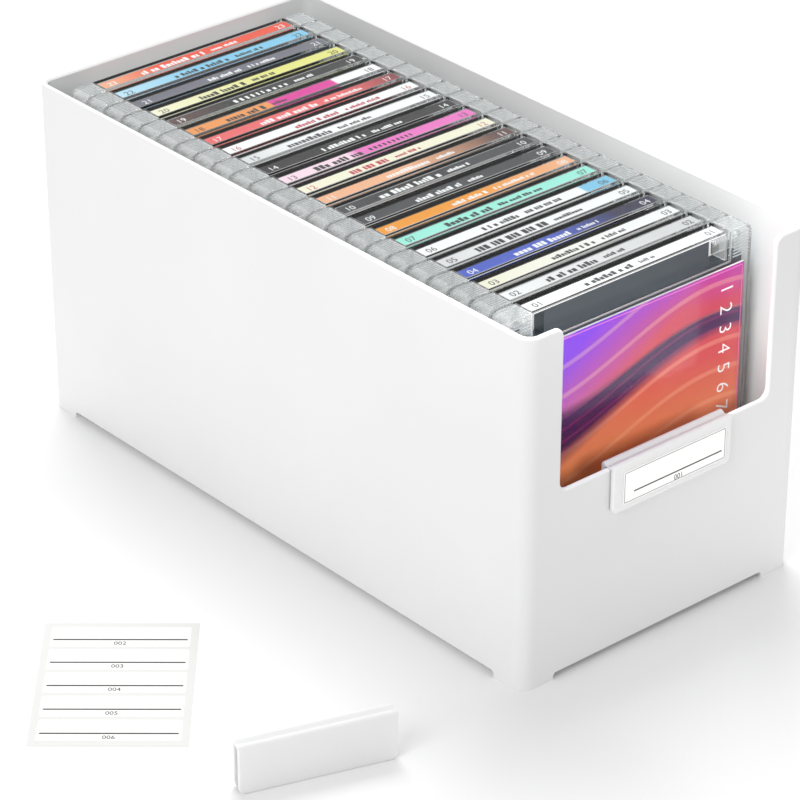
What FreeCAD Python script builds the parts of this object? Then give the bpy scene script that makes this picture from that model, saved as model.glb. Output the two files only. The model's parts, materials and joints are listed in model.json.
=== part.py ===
import FreeCAD, Part
import math
import os
import re

import Sketcher

# Tabletop drawer for compact discs: an open moulded tub with a low front sill, a row of jewel cases
# standing spine up in it, a label clip on the sill, and a spare clip and a sheet of labels beside it.
# Millimetres. +Z is up and the sill faces -Y. The origin is the middle of the whole set's footprint,
# on the surface that it stands on.

SIZES = (
    # jewel case, closed, standing on its opening edge with the hinge edge on top
    ("disc_side_room", "2.5", "disc to the case's outside, left and right"),
    ("disc_end_room", "4.5", "disc to the case's opening edge, and to where its hinge begins"),
    ("case_thickness", "10.4", "case, front to back"),
    ("case_panel", "1.2", "wall of the clear mouldings"),
    ("case_fit", "0.25", "gap between pieces of a case"),
    ("case_corner", "3", "outer corners at the hinge edge"),
    ("hinge_depth", "13", "lid's open stretch between its ears"),
    ("ear_width", "11.5", "lid's ear, along the spine"),
    ("base_depth", "7", "base's spine wall, front to back"),
    ("pivot_pocket", "7", "clear pocket between a cheek and the tray's strip"),
    ("pin_radius", "1.5", "hinge pin"),
    ("pin_reach", "1", "hinge pin, past the inside of the cheek that it turns in"),
    ("pin_play", "0.1", "hinge pin, radial play"),
    ("keeper_width", "9", "tab that keeps the booklet, up the case"),
    ("keeper_reach", "3", "tab that keeps the booklet, in from the wall"),
    ("keeper_thickness", "0.8", "tab that keeps the booklet"),
    ("keeper_spread", "70", "between the two tabs of a side"),
    ("card", "0.3", "tray card"),
    ("booklet_side_room", "1.3", "booklet to the lid's side walls"),
    ("booklet_thickness", "1.1", "booklet"),
    ("booklet_foot", "6", "booklet above the opening edge"),
    ("booklet_head_room", "3", "booklet to where the hinge begins"),
    ("tray_depth", "4.6", "tray, front to back"),
    ("tray_recess", "2.6", "disc's seat in the tray"),
    ("disc_radius", "60", "disc"),
    ("disc_hole", "7.5", "disc's hole, radius"),
    ("disc_thickness", "1.2", "disc"),
    ("disc_play", "0.4", "disc in its seat, radial"),
    ("hub_play", "0.2", "hub in the disc's hole, radial"),
    ("hub_bore", "3.2", "open middle of the hub, radius"),
    ("hub_slit", "1", "slit between two fingers of the hub"),
    ("hub_fingers", "8", "fingers of the hub"),
    # the row of cases
    ("case_count", "23", "cases in the row"),
    ("case_gap", "1.3", "between two cases"),
    ("front_room", "18", "sill wall to the first case"),
    ("rear_room", "7", "last case to the back wall"),
    ("side_room", "7.5", "case to the side wall, at the rim"),
    ("rim_over", "3.7", "rim above the cases"),
    # the tub
    ("wall", "2.5", "wall of the tub"),
    ("floor_thickness", "2.5", "floor of the tub"),
    ("corner_radius", "6", "upright corners, outside"),
    ("draft_angle", "0.2", "walls off upright, in degrees"),
    ("floor_round", "2", "floor into wall"),
    ("foot_rise", "2.8", "underside above the surface"),
    ("foot_length", "16", "foot along each side"),
    ("foot_round", "1.5", "foot into underside"),
    ("sill_height", "82", "sill above the surface"),
    ("sill_round", "4", "lower corners of the front opening"),
    ("tab_width", "18", "front wall left beside the opening"),
    ("tab_round", "4", "upper corners of the front opening"),
    ("rim_round", "1.1", "outer edge of the rim and sill"),
    ("rim_chamfer", "0.7", "inner edge of the rim and sill"),
    # the clips
    ("clip_width", "62", "clip along the sill"),
    ("clip_leg_length", "19", "clip's legs below its saddle"),
    ("clip_leg", "1.8", "clip's front and back legs"),
    ("clip_saddle", "1.8", "clip's saddle"),
    ("clip_play", "0.45", "clip to the wall, each side"),
    ("clip_corner", "2.6", "lower corners of the legs"),
    ("clip_top_round", "1.5", "long outer edges of the saddle"),
    ("clip_edge_chamfer", "0.4", "end edges of the clip"),
    ("clip_offset", "1.5", "clip to the right of the sill's middle"),
    # the labels
    ("label_width", "54", "label"),
    ("label_height", "14", "label"),
    ("label_thickness", "0.15", "label stock"),
    ("label_foot", "2.6", "label above the clip's lower edge"),
    ("label_offset", "1.2", "label to the right of the clip's middle"),
    ("label_count", "5", "labels on the sheet"),
    ("label_gap", "2", "between two labels on the sheet"),
    ("sheet_margin", "3", "backing sheet past the labels"),
    ("sheet_thickness", "0.15", "backing sheet"),
    # where the loose pieces lie, from the middle of the tub
    ("spare_left", "164", "spare clip, to the left"),
    ("spare_front", "140", "spare clip, to the front"),
    ("spare_turn", "18.6", "spare clip, clockwise from above, in degrees"),
    ("sheet_left", "183", "label sheet, to the left"),
    ("sheet_front", "42", "label sheet, to the front"),
    ("sheet_turn", "41", "label sheet, clockwise from above, in degrees"),
    # past the material, for cuts that go right through
    ("overrun", "2", "cutting solids past what they cut"),
)
ALIASES = {alias for alias, value, meaning in SIZES}

# Sizes that follow from the driving ones, as expressions on the sheet.
CASE_WIDTH = "(2 * (disc_radius + disc_side_room))"
HINGE_LINE = "(2 * (disc_radius + disc_end_room))"
CASE_RISE = f"({HINGE_LINE} + hinge_depth)"
CASE_PITCH = "(case_thickness + case_gap)"
ROW_LENGTH = f"(case_count * {CASE_PITCH} - case_gap)"
INNER_WIDTH = f"({CASE_WIDTH} + 2 * side_room)"
INNER_LENGTH = f"({ROW_LENGTH} + front_room + rear_room)"
TUB_WIDTH = f"({INNER_WIDTH} + 2 * wall)"
TUB_LENGTH = f"({INNER_LENGTH} + 2 * wall)"
FLOOR_TOP = "(foot_rise + floor_thickness)"
TUB_HEIGHT = f"({FLOOR_TOP} + {CASE_RISE} + rim_over)"
FOOT_SETBACK = f"({TUB_HEIGHT} * tan(draft_angle * 1deg))"
SILL_SETBACK = f"(({TUB_HEIGHT} - sill_height) * tan(draft_angle * 1deg))"
CLIP_SLOT = "(wall + 2 * clip_play)"
CLIP_DEPTH = f"({CLIP_SLOT} + 2 * clip_leg)"
CLIP_HEIGHT = "(clip_leg_length + clip_saddle)"
SHEET_WIDTH = "(label_width + 2 * sheet_margin)"
SHEET_LENGTH = "(label_count * (label_height + label_gap) - label_gap + 2 * sheet_margin)"

# The same inside one case: x from its middle, y from its front face back, z from its opening edge up.
HALF_CASE = f"({CASE_WIDTH} / 2)"
INSIDE_LID = f"({HALF_CASE} - case_panel)"
HALF_SPINE = f"({HALF_CASE} - ear_width)"
BASE_FRONT = "(case_thickness - base_depth)"
BASE_INSIDE = "(case_thickness - case_panel)"
BASE_HALF = f"({INSIDE_LID} - case_fit)"
SPINE_HALF = f"({HALF_SPINE} - case_fit)"
CHEEK_INSIDE = f"({SPINE_HALF} - case_panel)"
SPINE_UNDER = f"({CASE_RISE} - case_panel - case_fit)"
PIN_Y = f"({BASE_FRONT} + base_depth / 2)"
PIN_Z = f"({HINGE_LINE} + hinge_depth / 2)"
CARD_BACK = f"({BASE_INSIDE} - case_fit / 2)"
CARD_FRONT = f"({CARD_BACK} - card)"
CARD_TOP = f"({SPINE_UNDER} - case_fit / 2)"
CARD_FOOT = "(case_panel + case_fit / 2)"
TRAY_BACK = f"({CARD_FRONT} - case_fit / 2)"
TRAY_FRONT = f"({TRAY_BACK} - tray_depth)"
TRAY_HALF = f"({BASE_HALF} - case_fit)"
TRAY_FOOT = f"({CARD_FOOT} + card + case_fit / 2)"
TRAY_TOP = f"({HINGE_LINE} - case_fit)"
STRIP_HALF = f"({CHEEK_INSIDE} - pivot_pocket)"
CARD_HALF = f"({CHEEK_INSIDE} - case_fit)"
STRIP_TOP = f"({CARD_TOP} - card - case_fit / 2)"
SEAT_FLOOR = f"({TRAY_FRONT} + tray_recess)"
DISC_Z = f"(({TRAY_FOOT} + {TRAY_TOP}) / 2)"
HUB_RADIUS = "(disc_hole - hub_play)"
BOOKLET_HALF = f"({INSIDE_LID} - booklet_side_room)"
BOOKLET_TOP = f"({HINGE_LINE} - booklet_head_room)"
BOOKLET_FRONT = "(case_panel + case_fit / 2)"
BOOKLET_BACK = f"({BOOKLET_FRONT} + booklet_thickness)"
KEEPER_FRONT = f"({BOOKLET_BACK} + case_fit / 2)"


def on_sheet(text):
    """An expression in which every alias is looked up on the sheet called Sizes."""

    def looked_up(word):
        return f"Sizes.{word.group()}" if word.group() in ALIASES else word.group()

    return re.sub(r"[a-z_]+", looked_up, text)


def add_sheet():
    """The spreadsheet of driving dimensions: alias, value, meaning."""
    new_sheet = doc.addObject("Spreadsheet::Sheet", "Sizes")
    for row, (alias, value, meaning) in enumerate(SIZES, start=1):
        new_sheet.set(f"A{row}", alias)
        new_sheet.set(f"B{row}", value)
        new_sheet.set(f"C{row}", meaning)
        new_sheet.setAlias(f"B{row}", alias)
    doc.recompute()
    return new_sheet


def value_of(text):
    """The number that an expression on the sheet comes to."""
    result = sheet.evalExpression(on_sheet(text))
    return float(getattr(result, "Value", result))


def bind(thing, bindings):
    """Binds each property path of a thing to its expression."""
    for path, text in bindings.items():
        thing.setExpression(path, on_sheet(text))
    return thing


# ---------------------------------------------------------------- Part primitives and booleans


def block(name, x_span, y_span, z_span):
    """A box between pairs of expressions."""
    box = doc.addObject("Part::Box", name)
    sides = zip(("Length", "Width", "Height"), "xyz", (x_span, y_span, z_span))
    for side, axis, (low, high) in sides:
        bind(box, {side: f"{high} - {low}", f"Placement.Base.{axis}": low})
    return box


def centred(half):
    """The span from minus a half width to plus it."""
    return (f"-{half}", half)


def turned_cylinder(name, radius, length, base, axis):
    """A cylinder of an expression's radius and length from a base point along a direction."""
    rod = doc.addObject("Part::Cylinder", name)
    rod.Placement.Rotation = FreeCAD.Rotation(FreeCAD.Vector(0, 0, 1), axis)
    paths = {f"Placement.Base.{letter}": text for letter, text in zip("xyz", base)}
    return bind(rod, {"Radius": radius, "Height": length, **paths})


def fused(name, solids):
    """One solid of several that touch or overlap."""
    union = doc.addObject("Part::MultiFuse", name)
    union.Shapes = solids
    union.Refine = True
    return union


def cut(name, solid, tools):
    """A solid less one or more cutting solids."""
    tool = tools[0] if len(tools) == 1 else fused(name + "_tools", tools)
    rest = doc.addObject("Part::Cut", name)
    rest.Base = solid
    rest.Tool = tool
    rest.Refine = True
    return rest


def group(name, members):
    """Separate solids that are handled as one piece."""
    compound = doc.addObject("Part::Compound", name)
    compound.Links = members
    return compound


def set_on(piece, place, turn="0"):
    """Stands a piece at a place of three expressions, turned about the upright by an expression's degrees."""
    turned = FreeCAD.Rotation(FreeCAD.Vector(0, 0, 1), value_of(turn))
    piece.Placement = FreeCAD.Placement(FreeCAD.Vector(), turned)
    return bind(piece, {f"Placement.Base.{axis}": text for axis, text in zip("xyz", place)})


# ---------------------------------------------------------------- PartDesign sketches and features


def new_body(name):
    """An empty PartDesign body."""
    return doc.addObject("PartDesign::Body", name)


def sketch_on(body, name, role, offset="0", rise="0"):
    """A sketch on one of the body's own origin planes, moved along its normal and up in its plane."""
    sketch = body.newObject("Sketcher::SketchObject", name)
    plane = [feature for feature in body.Origin.OriginFeatures if feature.Role == role][0]
    sketch.AttachmentSupport = [(plane, "")]
    sketch.MapMode = "FlatFace"
    return bind(sketch, {"AttachmentOffset.Base.z": offset, "AttachmentOffset.Base.y": rise})


def constrain(sketch, kind, *items):
    """Adds a geometric constraint."""
    return sketch.addConstraint(Sketcher.Constraint(kind, *items))


def dimension(sketch, kind, name, text, *items):
    """Adds a named dimension that follows an expression."""
    index = sketch.addConstraint(Sketcher.Constraint(kind, *items, abs(value_of(text))))
    sketch.renameConstraint(index, name)
    bind(sketch, {f"Constraints.{name}": text})


def line(sketch, start, end):
    """Adds a line and gives its index."""
    ends = [FreeCAD.Vector(point[0], point[1], 0) for point in (start, end)]
    return sketch.addGeometry(Part.LineSegment(*ends), False)


def arc(sketch, centre, radius, first, last):
    """Adds an arc between two angles in degrees and gives its index."""
    circle = Part.Circle(FreeCAD.Vector(centre[0], centre[1], 0), FreeCAD.Vector(0, 0, 1), radius)
    return sketch.addGeometry(Part.ArcOfCircle(circle, math.radians(first), math.radians(last)), False)


def draw_rounded_rectangle(sketch, width, height, radius):
    """A rectangle about the sketch's origin with four equal round corners."""
    half_w, half_h, r = value_of(width) / 2, value_of(height) / 2, value_of(radius)
    low = line(sketch, (-half_w + r, -half_h), (half_w - r, -half_h))
    right = line(sketch, (half_w, -half_h + r), (half_w, half_h - r))
    high = line(sketch, (half_w - r, half_h), (-half_w + r, half_h))
    left = line(sketch, (-half_w, half_h - r), (-half_w, -half_h + r))
    corners = [
        arc(sketch, (half_w - r, -half_h + r), r, 270, 360),
        arc(sketch, (half_w - r, half_h - r), r, 0, 90),
        arc(sketch, (-half_w + r, half_h - r), r, 90, 180),
        arc(sketch, (-half_w + r, -half_h + r), r, 180, 270),
    ]
    sides = (low, right, high, left)
    for index, corner in enumerate(corners):
        constrain(sketch, "Tangent", sides[index], 2, corner, 1)
        constrain(sketch, "Tangent", corner, 2, sides[(index + 1) % len(sides)], 1)
    for corner in corners[1:]:
        constrain(sketch, "Equal", corners[0], corner)
    constrain(sketch, "Horizontal", low)
    constrain(sketch, "Vertical", right)
    constrain(sketch, "Symmetric", corners[0], 3, corners[2], 3, -1, 1)
    dimension(sketch, "DistanceX", "width", width, left, 1, right, 1)
    dimension(sketch, "DistanceY", "height", height, low, 1, high, 1)
    dimension(sketch, "Radius", "corner", radius, corners[0])


def draw_round_ended_slot(sketch, width, closed, opened, radius):
    """A rectangle about the upright axis, from an open level to a closed one with two round corners."""
    half, shut, free, r = value_of(width) / 2, value_of(closed), value_of(opened), value_of(radius)
    way = 1 if free > shut else -1
    left = line(sketch, (-half, free), (-half, shut + way * r))
    level = line(sketch, (-half + r, shut), (half - r, shut))
    right = line(sketch, (half, shut + way * r), (half, free))
    mouth = line(sketch, (half, free), (-half, free))
    if way > 0:
        first = arc(sketch, (-half + r, shut + r), r, 180, 270)
        second = arc(sketch, (half - r, shut + r), r, 270, 360)
        first_ends, second_ends = (1, 2), (1, 2)
    else:
        first = arc(sketch, (-half + r, shut - r), r, 90, 180)
        second = arc(sketch, (half - r, shut - r), r, 0, 90)
        first_ends, second_ends = (2, 1), (2, 1)
    constrain(sketch, "Tangent", left, 2, first, first_ends[0])
    constrain(sketch, "Tangent", first, first_ends[1], level, 1)
    constrain(sketch, "Tangent", level, 2, second, second_ends[0])
    constrain(sketch, "Tangent", second, second_ends[1], right, 1)
    constrain(sketch, "Coincident", right, 2, mouth, 1)
    constrain(sketch, "Coincident", mouth, 2, left, 1)
    constrain(sketch, "Equal", first, second)
    constrain(sketch, "Vertical", left)
    constrain(sketch, "Vertical", right)
    constrain(sketch, "Horizontal", level)
    constrain(sketch, "Symmetric", left, 1, right, 2, -2)
    dimension(sketch, "DistanceX", "width", width, left, 1, right, 2)
    dimension(sketch, "Radius", "corner", radius, first)
    for name, text, item, number in (("closed", closed, level, shut), ("opened", opened, mouth, free)):
        ends = (-1, 1, item, 1) if number >= 0 else (item, 1, -1, 1)
        sign = "" if number >= 0 else "-"
        dimension(sketch, "DistanceY", name, f"{sign}{text}", *ends)


def draw_circle(sketch, radius):
    """A circle about the sketch's origin."""
    circle = Part.Circle(FreeCAD.Vector(), FreeCAD.Vector(0, 0, 1), value_of(radius))
    index = sketch.addGeometry(circle, False)
    constrain(sketch, "Coincident", index, 3, -1, 1)
    dimension(sketch, "Radius", "radius", radius, index)


def feature(body, kind, name, sketch, bindings, reverse=False):
    """A sketch-based feature whose sizes follow expressions."""
    made = body.newObject(f"PartDesign::{kind}", name)
    made.Profile = sketch
    made.Reversed = reverse
    bind(made, bindings)
    return made


def finished(body, kind, name, base, edges, bindings):
    """Rounds or chamfers the named edges of the last feature, and runs on along edges tangent to them."""
    made = body.newObject(f"PartDesign::{kind}", name)
    made.Base = (base, edges)
    bind(made, bindings)
    body.Tip = made
    doc.recompute()
    return made


def rounded(body, name, base, edges, radius):
    """Rounds the named edges of the body's last feature."""
    return finished(body, "Fillet", name, base, edges, {"Radius": radius})


def edges_where(base, test):
    """Names of the edges whose bounding box passes a test."""
    edges = enumerate(base.Shape.Edges, start=1)
    return [f"Edge{number}" for number, edge in edges if test(edge.BoundBox)]


def close(a, b):
    """True where two coordinates are the same place."""
    return abs(a - b) < SAME_PLACE


SAME_PLACE = 0.01


# ---------------------------------------------------------------- the tub


def make_drawer():
    """The tub: one moulding with drafted walls, four corner feet, a low sill in front and a rolled rim."""
    body = new_body("drawer")
    outside = sketch_on(body, "tub_outside", "XY_Plane", TUB_HEIGHT)
    draw_rounded_rectangle(outside, TUB_WIDTH, TUB_LENGTH, "corner_radius")
    draft = {"TaperAngle": "-draft_angle"}
    shell = feature(body, "Pad", "tub_block", outside, {"Length": TUB_HEIGHT, **draft}, reverse=True)
    inside = sketch_on(body, "tub_inside", "XY_Plane", TUB_HEIGHT)
    draw_rounded_rectangle(inside, INNER_WIDTH, INNER_LENGTH, "corner_radius - wall")
    depth = f"{TUB_HEIGHT} - {FLOOR_TOP}"
    feature(body, "Pocket", "tub_hollow", inside, {"Length": depth, **draft})
    for name, role, span in (("side", "XZ_Plane", TUB_WIDTH), ("end", "YZ_Plane", TUB_LENGTH)):
        outline = sketch_on(body, f"foot_gap_{name}_outline", role)
        gap = f"({span} - 2 * {FOOT_SETBACK} - 2 * foot_length)"
        draw_round_ended_slot(outline, gap, "foot_rise", "-overrun", "foot_round")
        through = feature(body, "Pocket", f"foot_gap_{name}", outline, {})
        through.Type = "ThroughAll"
        through.SideType = "Symmetric"
    opening = sketch_on(body, "front_opening_outline", "XZ_Plane")
    opening_width = f"({TUB_WIDTH} - 2 * tab_width)"
    draw_round_ended_slot(opening, opening_width, "sill_height", f"({TUB_HEIGHT} + overrun)", "sill_round")
    reach = {"Length": f"{TUB_LENGTH} / 2 + overrun"}
    notch = feature(body, "Pocket", "front_opening", opening, reach, reverse=True)
    doc.recompute()

    top = value_of(TUB_HEIGHT)
    half_opening = value_of(opening_width) / 2
    tab_corners = edges_where(
        notch,
        lambda box: close(box.ZMin, top) and close(box.ZMax, top) and box.XLength < SAME_PLACE
        and close(abs(box.XMin), half_opening),
    )
    tabs = rounded(body, "tab_corners", notch, tab_corners, "tab_round")
    half_outside, half_inside = value_of(TUB_LENGTH) / 2, value_of(INNER_LENGTH) / 2

    def rear_rim(base, place):
        """The rim's straight edge at the back, at that distance from the middle."""
        return edges_where(
            base,
            lambda box: close(box.ZMin, top) and box.ZLength < SAME_PLACE and close(box.YMin, place)
            and close(box.YMax, place),
        )

    outer = rounded(body, "rolled_rim", tabs, rear_rim(tabs, half_outside), "rim_round")
    inner_edge = rear_rim(outer, half_inside)
    rim = finished(body, "Chamfer", "inner_rim", outer, inner_edge, {"Size": "rim_chamfer"})
    floor_level = value_of(FLOOR_TOP)
    floor_edges = edges_where(
        rim,
        lambda box: close(box.ZMin, floor_level) and box.ZLength < SAME_PLACE and box.YLength < SAME_PLACE
        and box.YMin > 0,
    )
    rounded(body, "floor_corner", rim, floor_edges, "floor_round")
    return body


# ---------------------------------------------------------------- clips and labels


def make_clip(name):
    """A saddle on two equal legs: x along the sill, y back from the front face, z up from the feet."""
    body = new_body(name)
    outline = sketch_on(body, f"{name}_outline", "YZ_Plane")
    levels = ("0", "clip_leg_length", CLIP_HEIGHT)
    depths = ("0", "clip_leg", f"(clip_leg + {CLIP_SLOT})", CLIP_DEPTH)
    corners = ((0, 0), (1, 0), (1, 1), (2, 1), (2, 0), (3, 0), (3, 2), (0, 2))
    points = [(value_of(depths[column]), value_of(levels[row])) for column, row in corners]
    sides = [line(outline, point, points[(index + 1) % len(points)]) for index, point in enumerate(points)]
    for index, side in enumerate(sides):
        following = sides[(index + 1) % len(sides)]
        constrain(outline, "Coincident", side, 2, following, 1)
        constrain(outline, "Horizontal" if index % 2 == 0 else "Vertical", side)
    constrain(outline, "Coincident", sides[0], 1, -1, 1)
    constrain(outline, "PointOnObject", sides[4], 1, -1)
    dimension(outline, "DistanceX", "front_leg", depths[1], sides[0], 1, sides[0], 2)
    dimension(outline, "DistanceX", "slot", CLIP_SLOT, sides[2], 1, sides[2], 2)
    dimension(outline, "DistanceX", "back_leg", "clip_leg", sides[4], 1, sides[4], 2)
    dimension(outline, "DistanceY", "leg_length", levels[1], sides[1], 1, sides[1], 2)
    dimension(outline, "DistanceY", "whole_height", levels[2], sides[7], 2, sides[7], 1)
    rail = feature(body, "Pad", f"{name}_rail", outline, {"Length": "clip_width"})
    rail.SideType = "Symmetric"
    doc.recompute()

    leg_corners = edges_where(rail, lambda box: box.ZMax < SAME_PLACE and box.XLength < SAME_PLACE)
    legs = rounded(body, f"{name}_leg_corners", rail, leg_corners, "clip_corner")
    height = value_of(CLIP_HEIGHT)
    saddle_edges = edges_where(
        legs, lambda box: close(box.ZMin, height) and box.ZLength < SAME_PLACE and box.YLength < SAME_PLACE
    )
    saddle = rounded(body, f"{name}_saddle_edges", legs, saddle_edges, "clip_top_round")
    half = value_of("clip_width") / 2
    end_edges = edges_where(
        saddle,
        lambda box: close(abs(box.XMin), half) and box.XLength < SAME_PLACE
        and box.YMin < SAME_PLACE and box.YLength < SAME_PLACE,
    )
    finished(body, "Chamfer", f"{name}_end_edges", saddle, end_edges, {"Size": "clip_edge_chamfer"})
    return body


def make_clip_label():
    """The label on the clip, its middle on the origin, standing off towards the front."""
    span_up = centred("(label_height / 2)")
    return block("label", centred("(label_width / 2)"), ("(-label_thickness)", "0"), span_up)


def make_index_labels():
    """The labels on the backing sheet, one above the other, evenly spaced about its middle."""
    labels = []
    across = centred("(label_width / 2)")
    for number in range(round(value_of("label_count"))):
        middle = f"(({number} - (label_count - 1) / 2) * (label_height + label_gap))"
        along = (f"({middle} - label_height / 2)", f"({middle} + label_height / 2)")
        labels.append(block(f"index_label_{number + 1}", across, along, ("0", "label_thickness")))
    return group("index_labels", labels)


# ---------------------------------------------------------------- one jewel case


def make_plain_lid():
    """Front panel, side walls and two ears at the hinge edge, with the stretch between the ears open."""
    blank = block("lid_blank", centred(HALF_CASE), ("0", "case_thickness"), ("0", CASE_RISE))
    doc.recompute()
    top = value_of(CASE_RISE)
    rounding = doc.addObject("Part::Fillet", "lid_rounded")
    rounding.Base = blank
    radius = value_of("case_corner")
    rounding.Edges = [
        (number, radius, radius)
        for number, edge in enumerate(blank.Shape.Edges, start=1)
        if close(edge.BoundBox.ZMin, top) and edge.BoundBox.XLength < SAME_PLACE
    ]
    hollow = block(
        "lid_hollow",
        centred(INSIDE_LID),
        ("case_panel", "(case_thickness + overrun)"),
        ("(-overrun)", f"({CASE_RISE} - case_panel)"),
    )
    stretch = block(
        "lid_stretch",
        centred(HALF_SPINE),
        ("(-overrun)", "(case_thickness + overrun)"),
        (HINGE_LINE, f"({CASE_RISE} + overrun)"),
    )
    return cut("plain_lid", rounding, [hollow, stretch])


def make_lid(plain):
    """The first case's lid: the plain one with the two hinge pins and the four tabs that keep the booklet."""
    pins = []
    for side, sign in (("left", "-"), ("right", "")):
        start = f"({sign}({INSIDE_LID}))"
        rod_way = FreeCAD.Vector(1 if sign else -1, 0, 0)
        length = f"{INSIDE_LID} - {CHEEK_INSIDE} + pin_reach"
        pins.append(turned_cylinder(f"{side}_pin", "pin_radius", length, (start, PIN_Y, PIN_Z), rod_way))
    tabs = []
    for side, span in (
        ("left", (f"(-{INSIDE_LID})", f"(-{INSIDE_LID} + keeper_reach)")),
        ("right", (f"({INSIDE_LID} - keeper_reach)", INSIDE_LID)),
    ):
        for level, sign in (("low", "-"), ("high", "+")):
            middle = f"((booklet_foot + {BOOKLET_TOP}) / 2 {sign} keeper_spread / 2)"
            tabs.append(
                block(
                    f"{side}_{level}_keeper",
                    span,
                    (KEEPER_FRONT, f"({KEEPER_FRONT} + keeper_thickness)"),
                    (f"({middle} - keeper_width / 2)", f"({middle} + keeper_width / 2)"),
                )
            )
    return fused("lid", [plain, *pins, *tabs])


def make_plain_base():
    """Back panel, spine wall between the ears, opening wall, and the cheeks that end the hinge box."""
    back = block("base_back", centred(BASE_HALF), (BASE_INSIDE, "case_thickness"), ("0", SPINE_UNDER))
    spine_up = (SPINE_UNDER, CASE_RISE)
    spine = block("base_spine", centred(SPINE_HALF), (BASE_FRONT, "case_thickness"), spine_up)
    opening = block("base_opening_wall", centred(BASE_HALF), (BASE_FRONT, BASE_INSIDE), ("0", "case_panel"))
    cheeks = [
        block(f"base_{side}_cheek", span, (BASE_FRONT, BASE_INSIDE), (HINGE_LINE, SPINE_UNDER))
        for side, span in (
            ("left", (f"(-{SPINE_HALF})", f"(-{CHEEK_INSIDE})")),
            ("right", (CHEEK_INSIDE, SPINE_HALF)),
        )
    ]
    return fused("plain_base", [back, spine, opening, *cheeks])


def make_base(plain):
    """The first case's base: the plain one with the hinge holes through its cheeks."""
    drill = turned_cylinder(
        "hinge_drill",
        "pin_radius + pin_play",
        f"2 * {HALF_CASE}",
        (f"(-{HALF_CASE})", PIN_Y, PIN_Z),
        FreeCAD.Vector(1, 0, 0),
    )
    return cut("base", plain, [drill])


def make_inlay():
    """The printed tray card: a back, narrow beside the hinge, with a spine folded forward at each end."""
    fold = (f"({BASE_FRONT} + case_fit)", CARD_BACK)
    flat = (CARD_FRONT, CARD_BACK)
    sheets = [
        block("card_back", centred(TRAY_HALF), flat, (CARD_FOOT, TRAY_TOP)),
        block("card_neck", centred(CARD_HALF), flat, (TRAY_TOP, CARD_TOP)),
        block("card_spine", centred(CARD_HALF), fold, (f"({CARD_TOP} - card)", CARD_TOP)),
        block("card_opening_spine", centred(TRAY_HALF), fold, (CARD_FOOT, f"({CARD_FOOT} + card)")),
    ]
    return fused("inlay_card", sheets)


def make_booklet():
    """The booklet, square, just behind the lid's panel."""
    span_up = ("booklet_foot", BOOKLET_TOP)
    return block("booklet", centred(BOOKLET_HALF), (BOOKLET_FRONT, BOOKLET_BACK), span_up)


def make_plain_tray():
    """The dark tray as a closed case shows it: a slab with the narrow strip along the hinge."""
    slab = block("tray_slab", centred(TRAY_HALF), (TRAY_FRONT, TRAY_BACK), (TRAY_FOOT, TRAY_TOP))
    strip = block("tray_strip", centred(STRIP_HALF), (BASE_FRONT, TRAY_BACK), (TRAY_TOP, STRIP_TOP))
    return fused("plain_tray", [slab, strip])


def make_tray():
    """The first case's tray: a seat for the disc, and a hub of spring fingers that grips its hole."""
    body = new_body("tray")
    slab_plan = sketch_on(body, "slab_plan", "XZ_Plane", f"-{TRAY_BACK}", DISC_Z)
    draw_rounded_rectangle(slab_plan, f"(2 * {TRAY_HALF})", f"({TRAY_TOP} - {TRAY_FOOT})", "case_panel")
    feature(body, "Pad", "slab", slab_plan, {"Length": "tray_depth"})
    root = f"({TRAY_TOP} - 4 * case_panel)"
    strip_middle = f"(({STRIP_TOP} + {root}) / 2)"
    strip_plan = sketch_on(body, "strip_plan", "XZ_Plane", f"-{TRAY_BACK}", strip_middle)
    draw_rounded_rectangle(strip_plan, f"(2 * {STRIP_HALF})", f"({STRIP_TOP} - {root})", "case_panel")
    feature(body, "Pad", "strip", strip_plan, {"Length": f"{TRAY_BACK} - {BASE_FRONT}"})

    seat_plan = sketch_on(body, "seat_plan", "XZ_Plane", f"-{SEAT_FLOOR}", DISC_Z)
    hub_plan = sketch_on(body, "hub_plan", "XZ_Plane", f"-{SEAT_FLOOR}", DISC_Z)
    draw_circle(seat_plan, "(disc_radius + disc_play)")
    draw_circle(hub_plan, HUB_RADIUS)
    seat_cut = {"Length": f"{SEAT_FLOOR} - {BASE_FRONT} + overrun"}
    feature(body, "Pocket", "seat", seat_plan, seat_cut, reverse=True)
    feature(body, "Pad", "hub", hub_plan, {"Length": "disc_thickness + case_fit"})

    hub_cut = {"Length": "disc_thickness + overrun"}
    bore_plan = sketch_on(body, "bore_plan", "XZ_Plane", f"-{SEAT_FLOOR}", DISC_Z)
    draw_circle(bore_plan, "hub_bore")
    feature(body, "Pocket", "hub_middle", bore_plan, hub_cut, reverse=True)
    slit_plan = sketch_on(body, "slit_plan", "XZ_Plane", f"-{SEAT_FLOOR}", DISC_Z)
    draw_round_ended_slot(slit_plan, "hub_slit", "(hub_bore / 2)", "disc_hole", "(hub_slit / 4)")
    slit = feature(body, "Pocket", "slit", slit_plan, hub_cut, reverse=True)
    doc.recompute()
    slits = body.newObject("PartDesign::PolarPattern", "slits")
    slits.Originals = [slit]
    slits.Axis = (slit_plan, ["N_Axis"])
    slits.Angle = 360
    bind(slits, {"Occurrences": "hub_fingers"})
    body.Tip = slits
    return body


def make_disc():
    """The disc: a ring seated on the tray, its hole round the hub."""
    way = FreeCAD.Vector(0, 1, 0)
    face = f"({SEAT_FLOOR} - disc_thickness)"
    plate = turned_cylinder("disc_plate", "disc_radius", "disc_thickness", ("0", face, DISC_Z), way)
    hole_start = ("0", f"({face} - overrun)", DISC_Z)
    hole = turned_cylinder("disc_hole_tool", "disc_hole", "disc_thickness + 2 * overrun", hole_start, way)
    return cut("disc", plate, [hole])


# ---------------------------------------------------------------- the set

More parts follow.
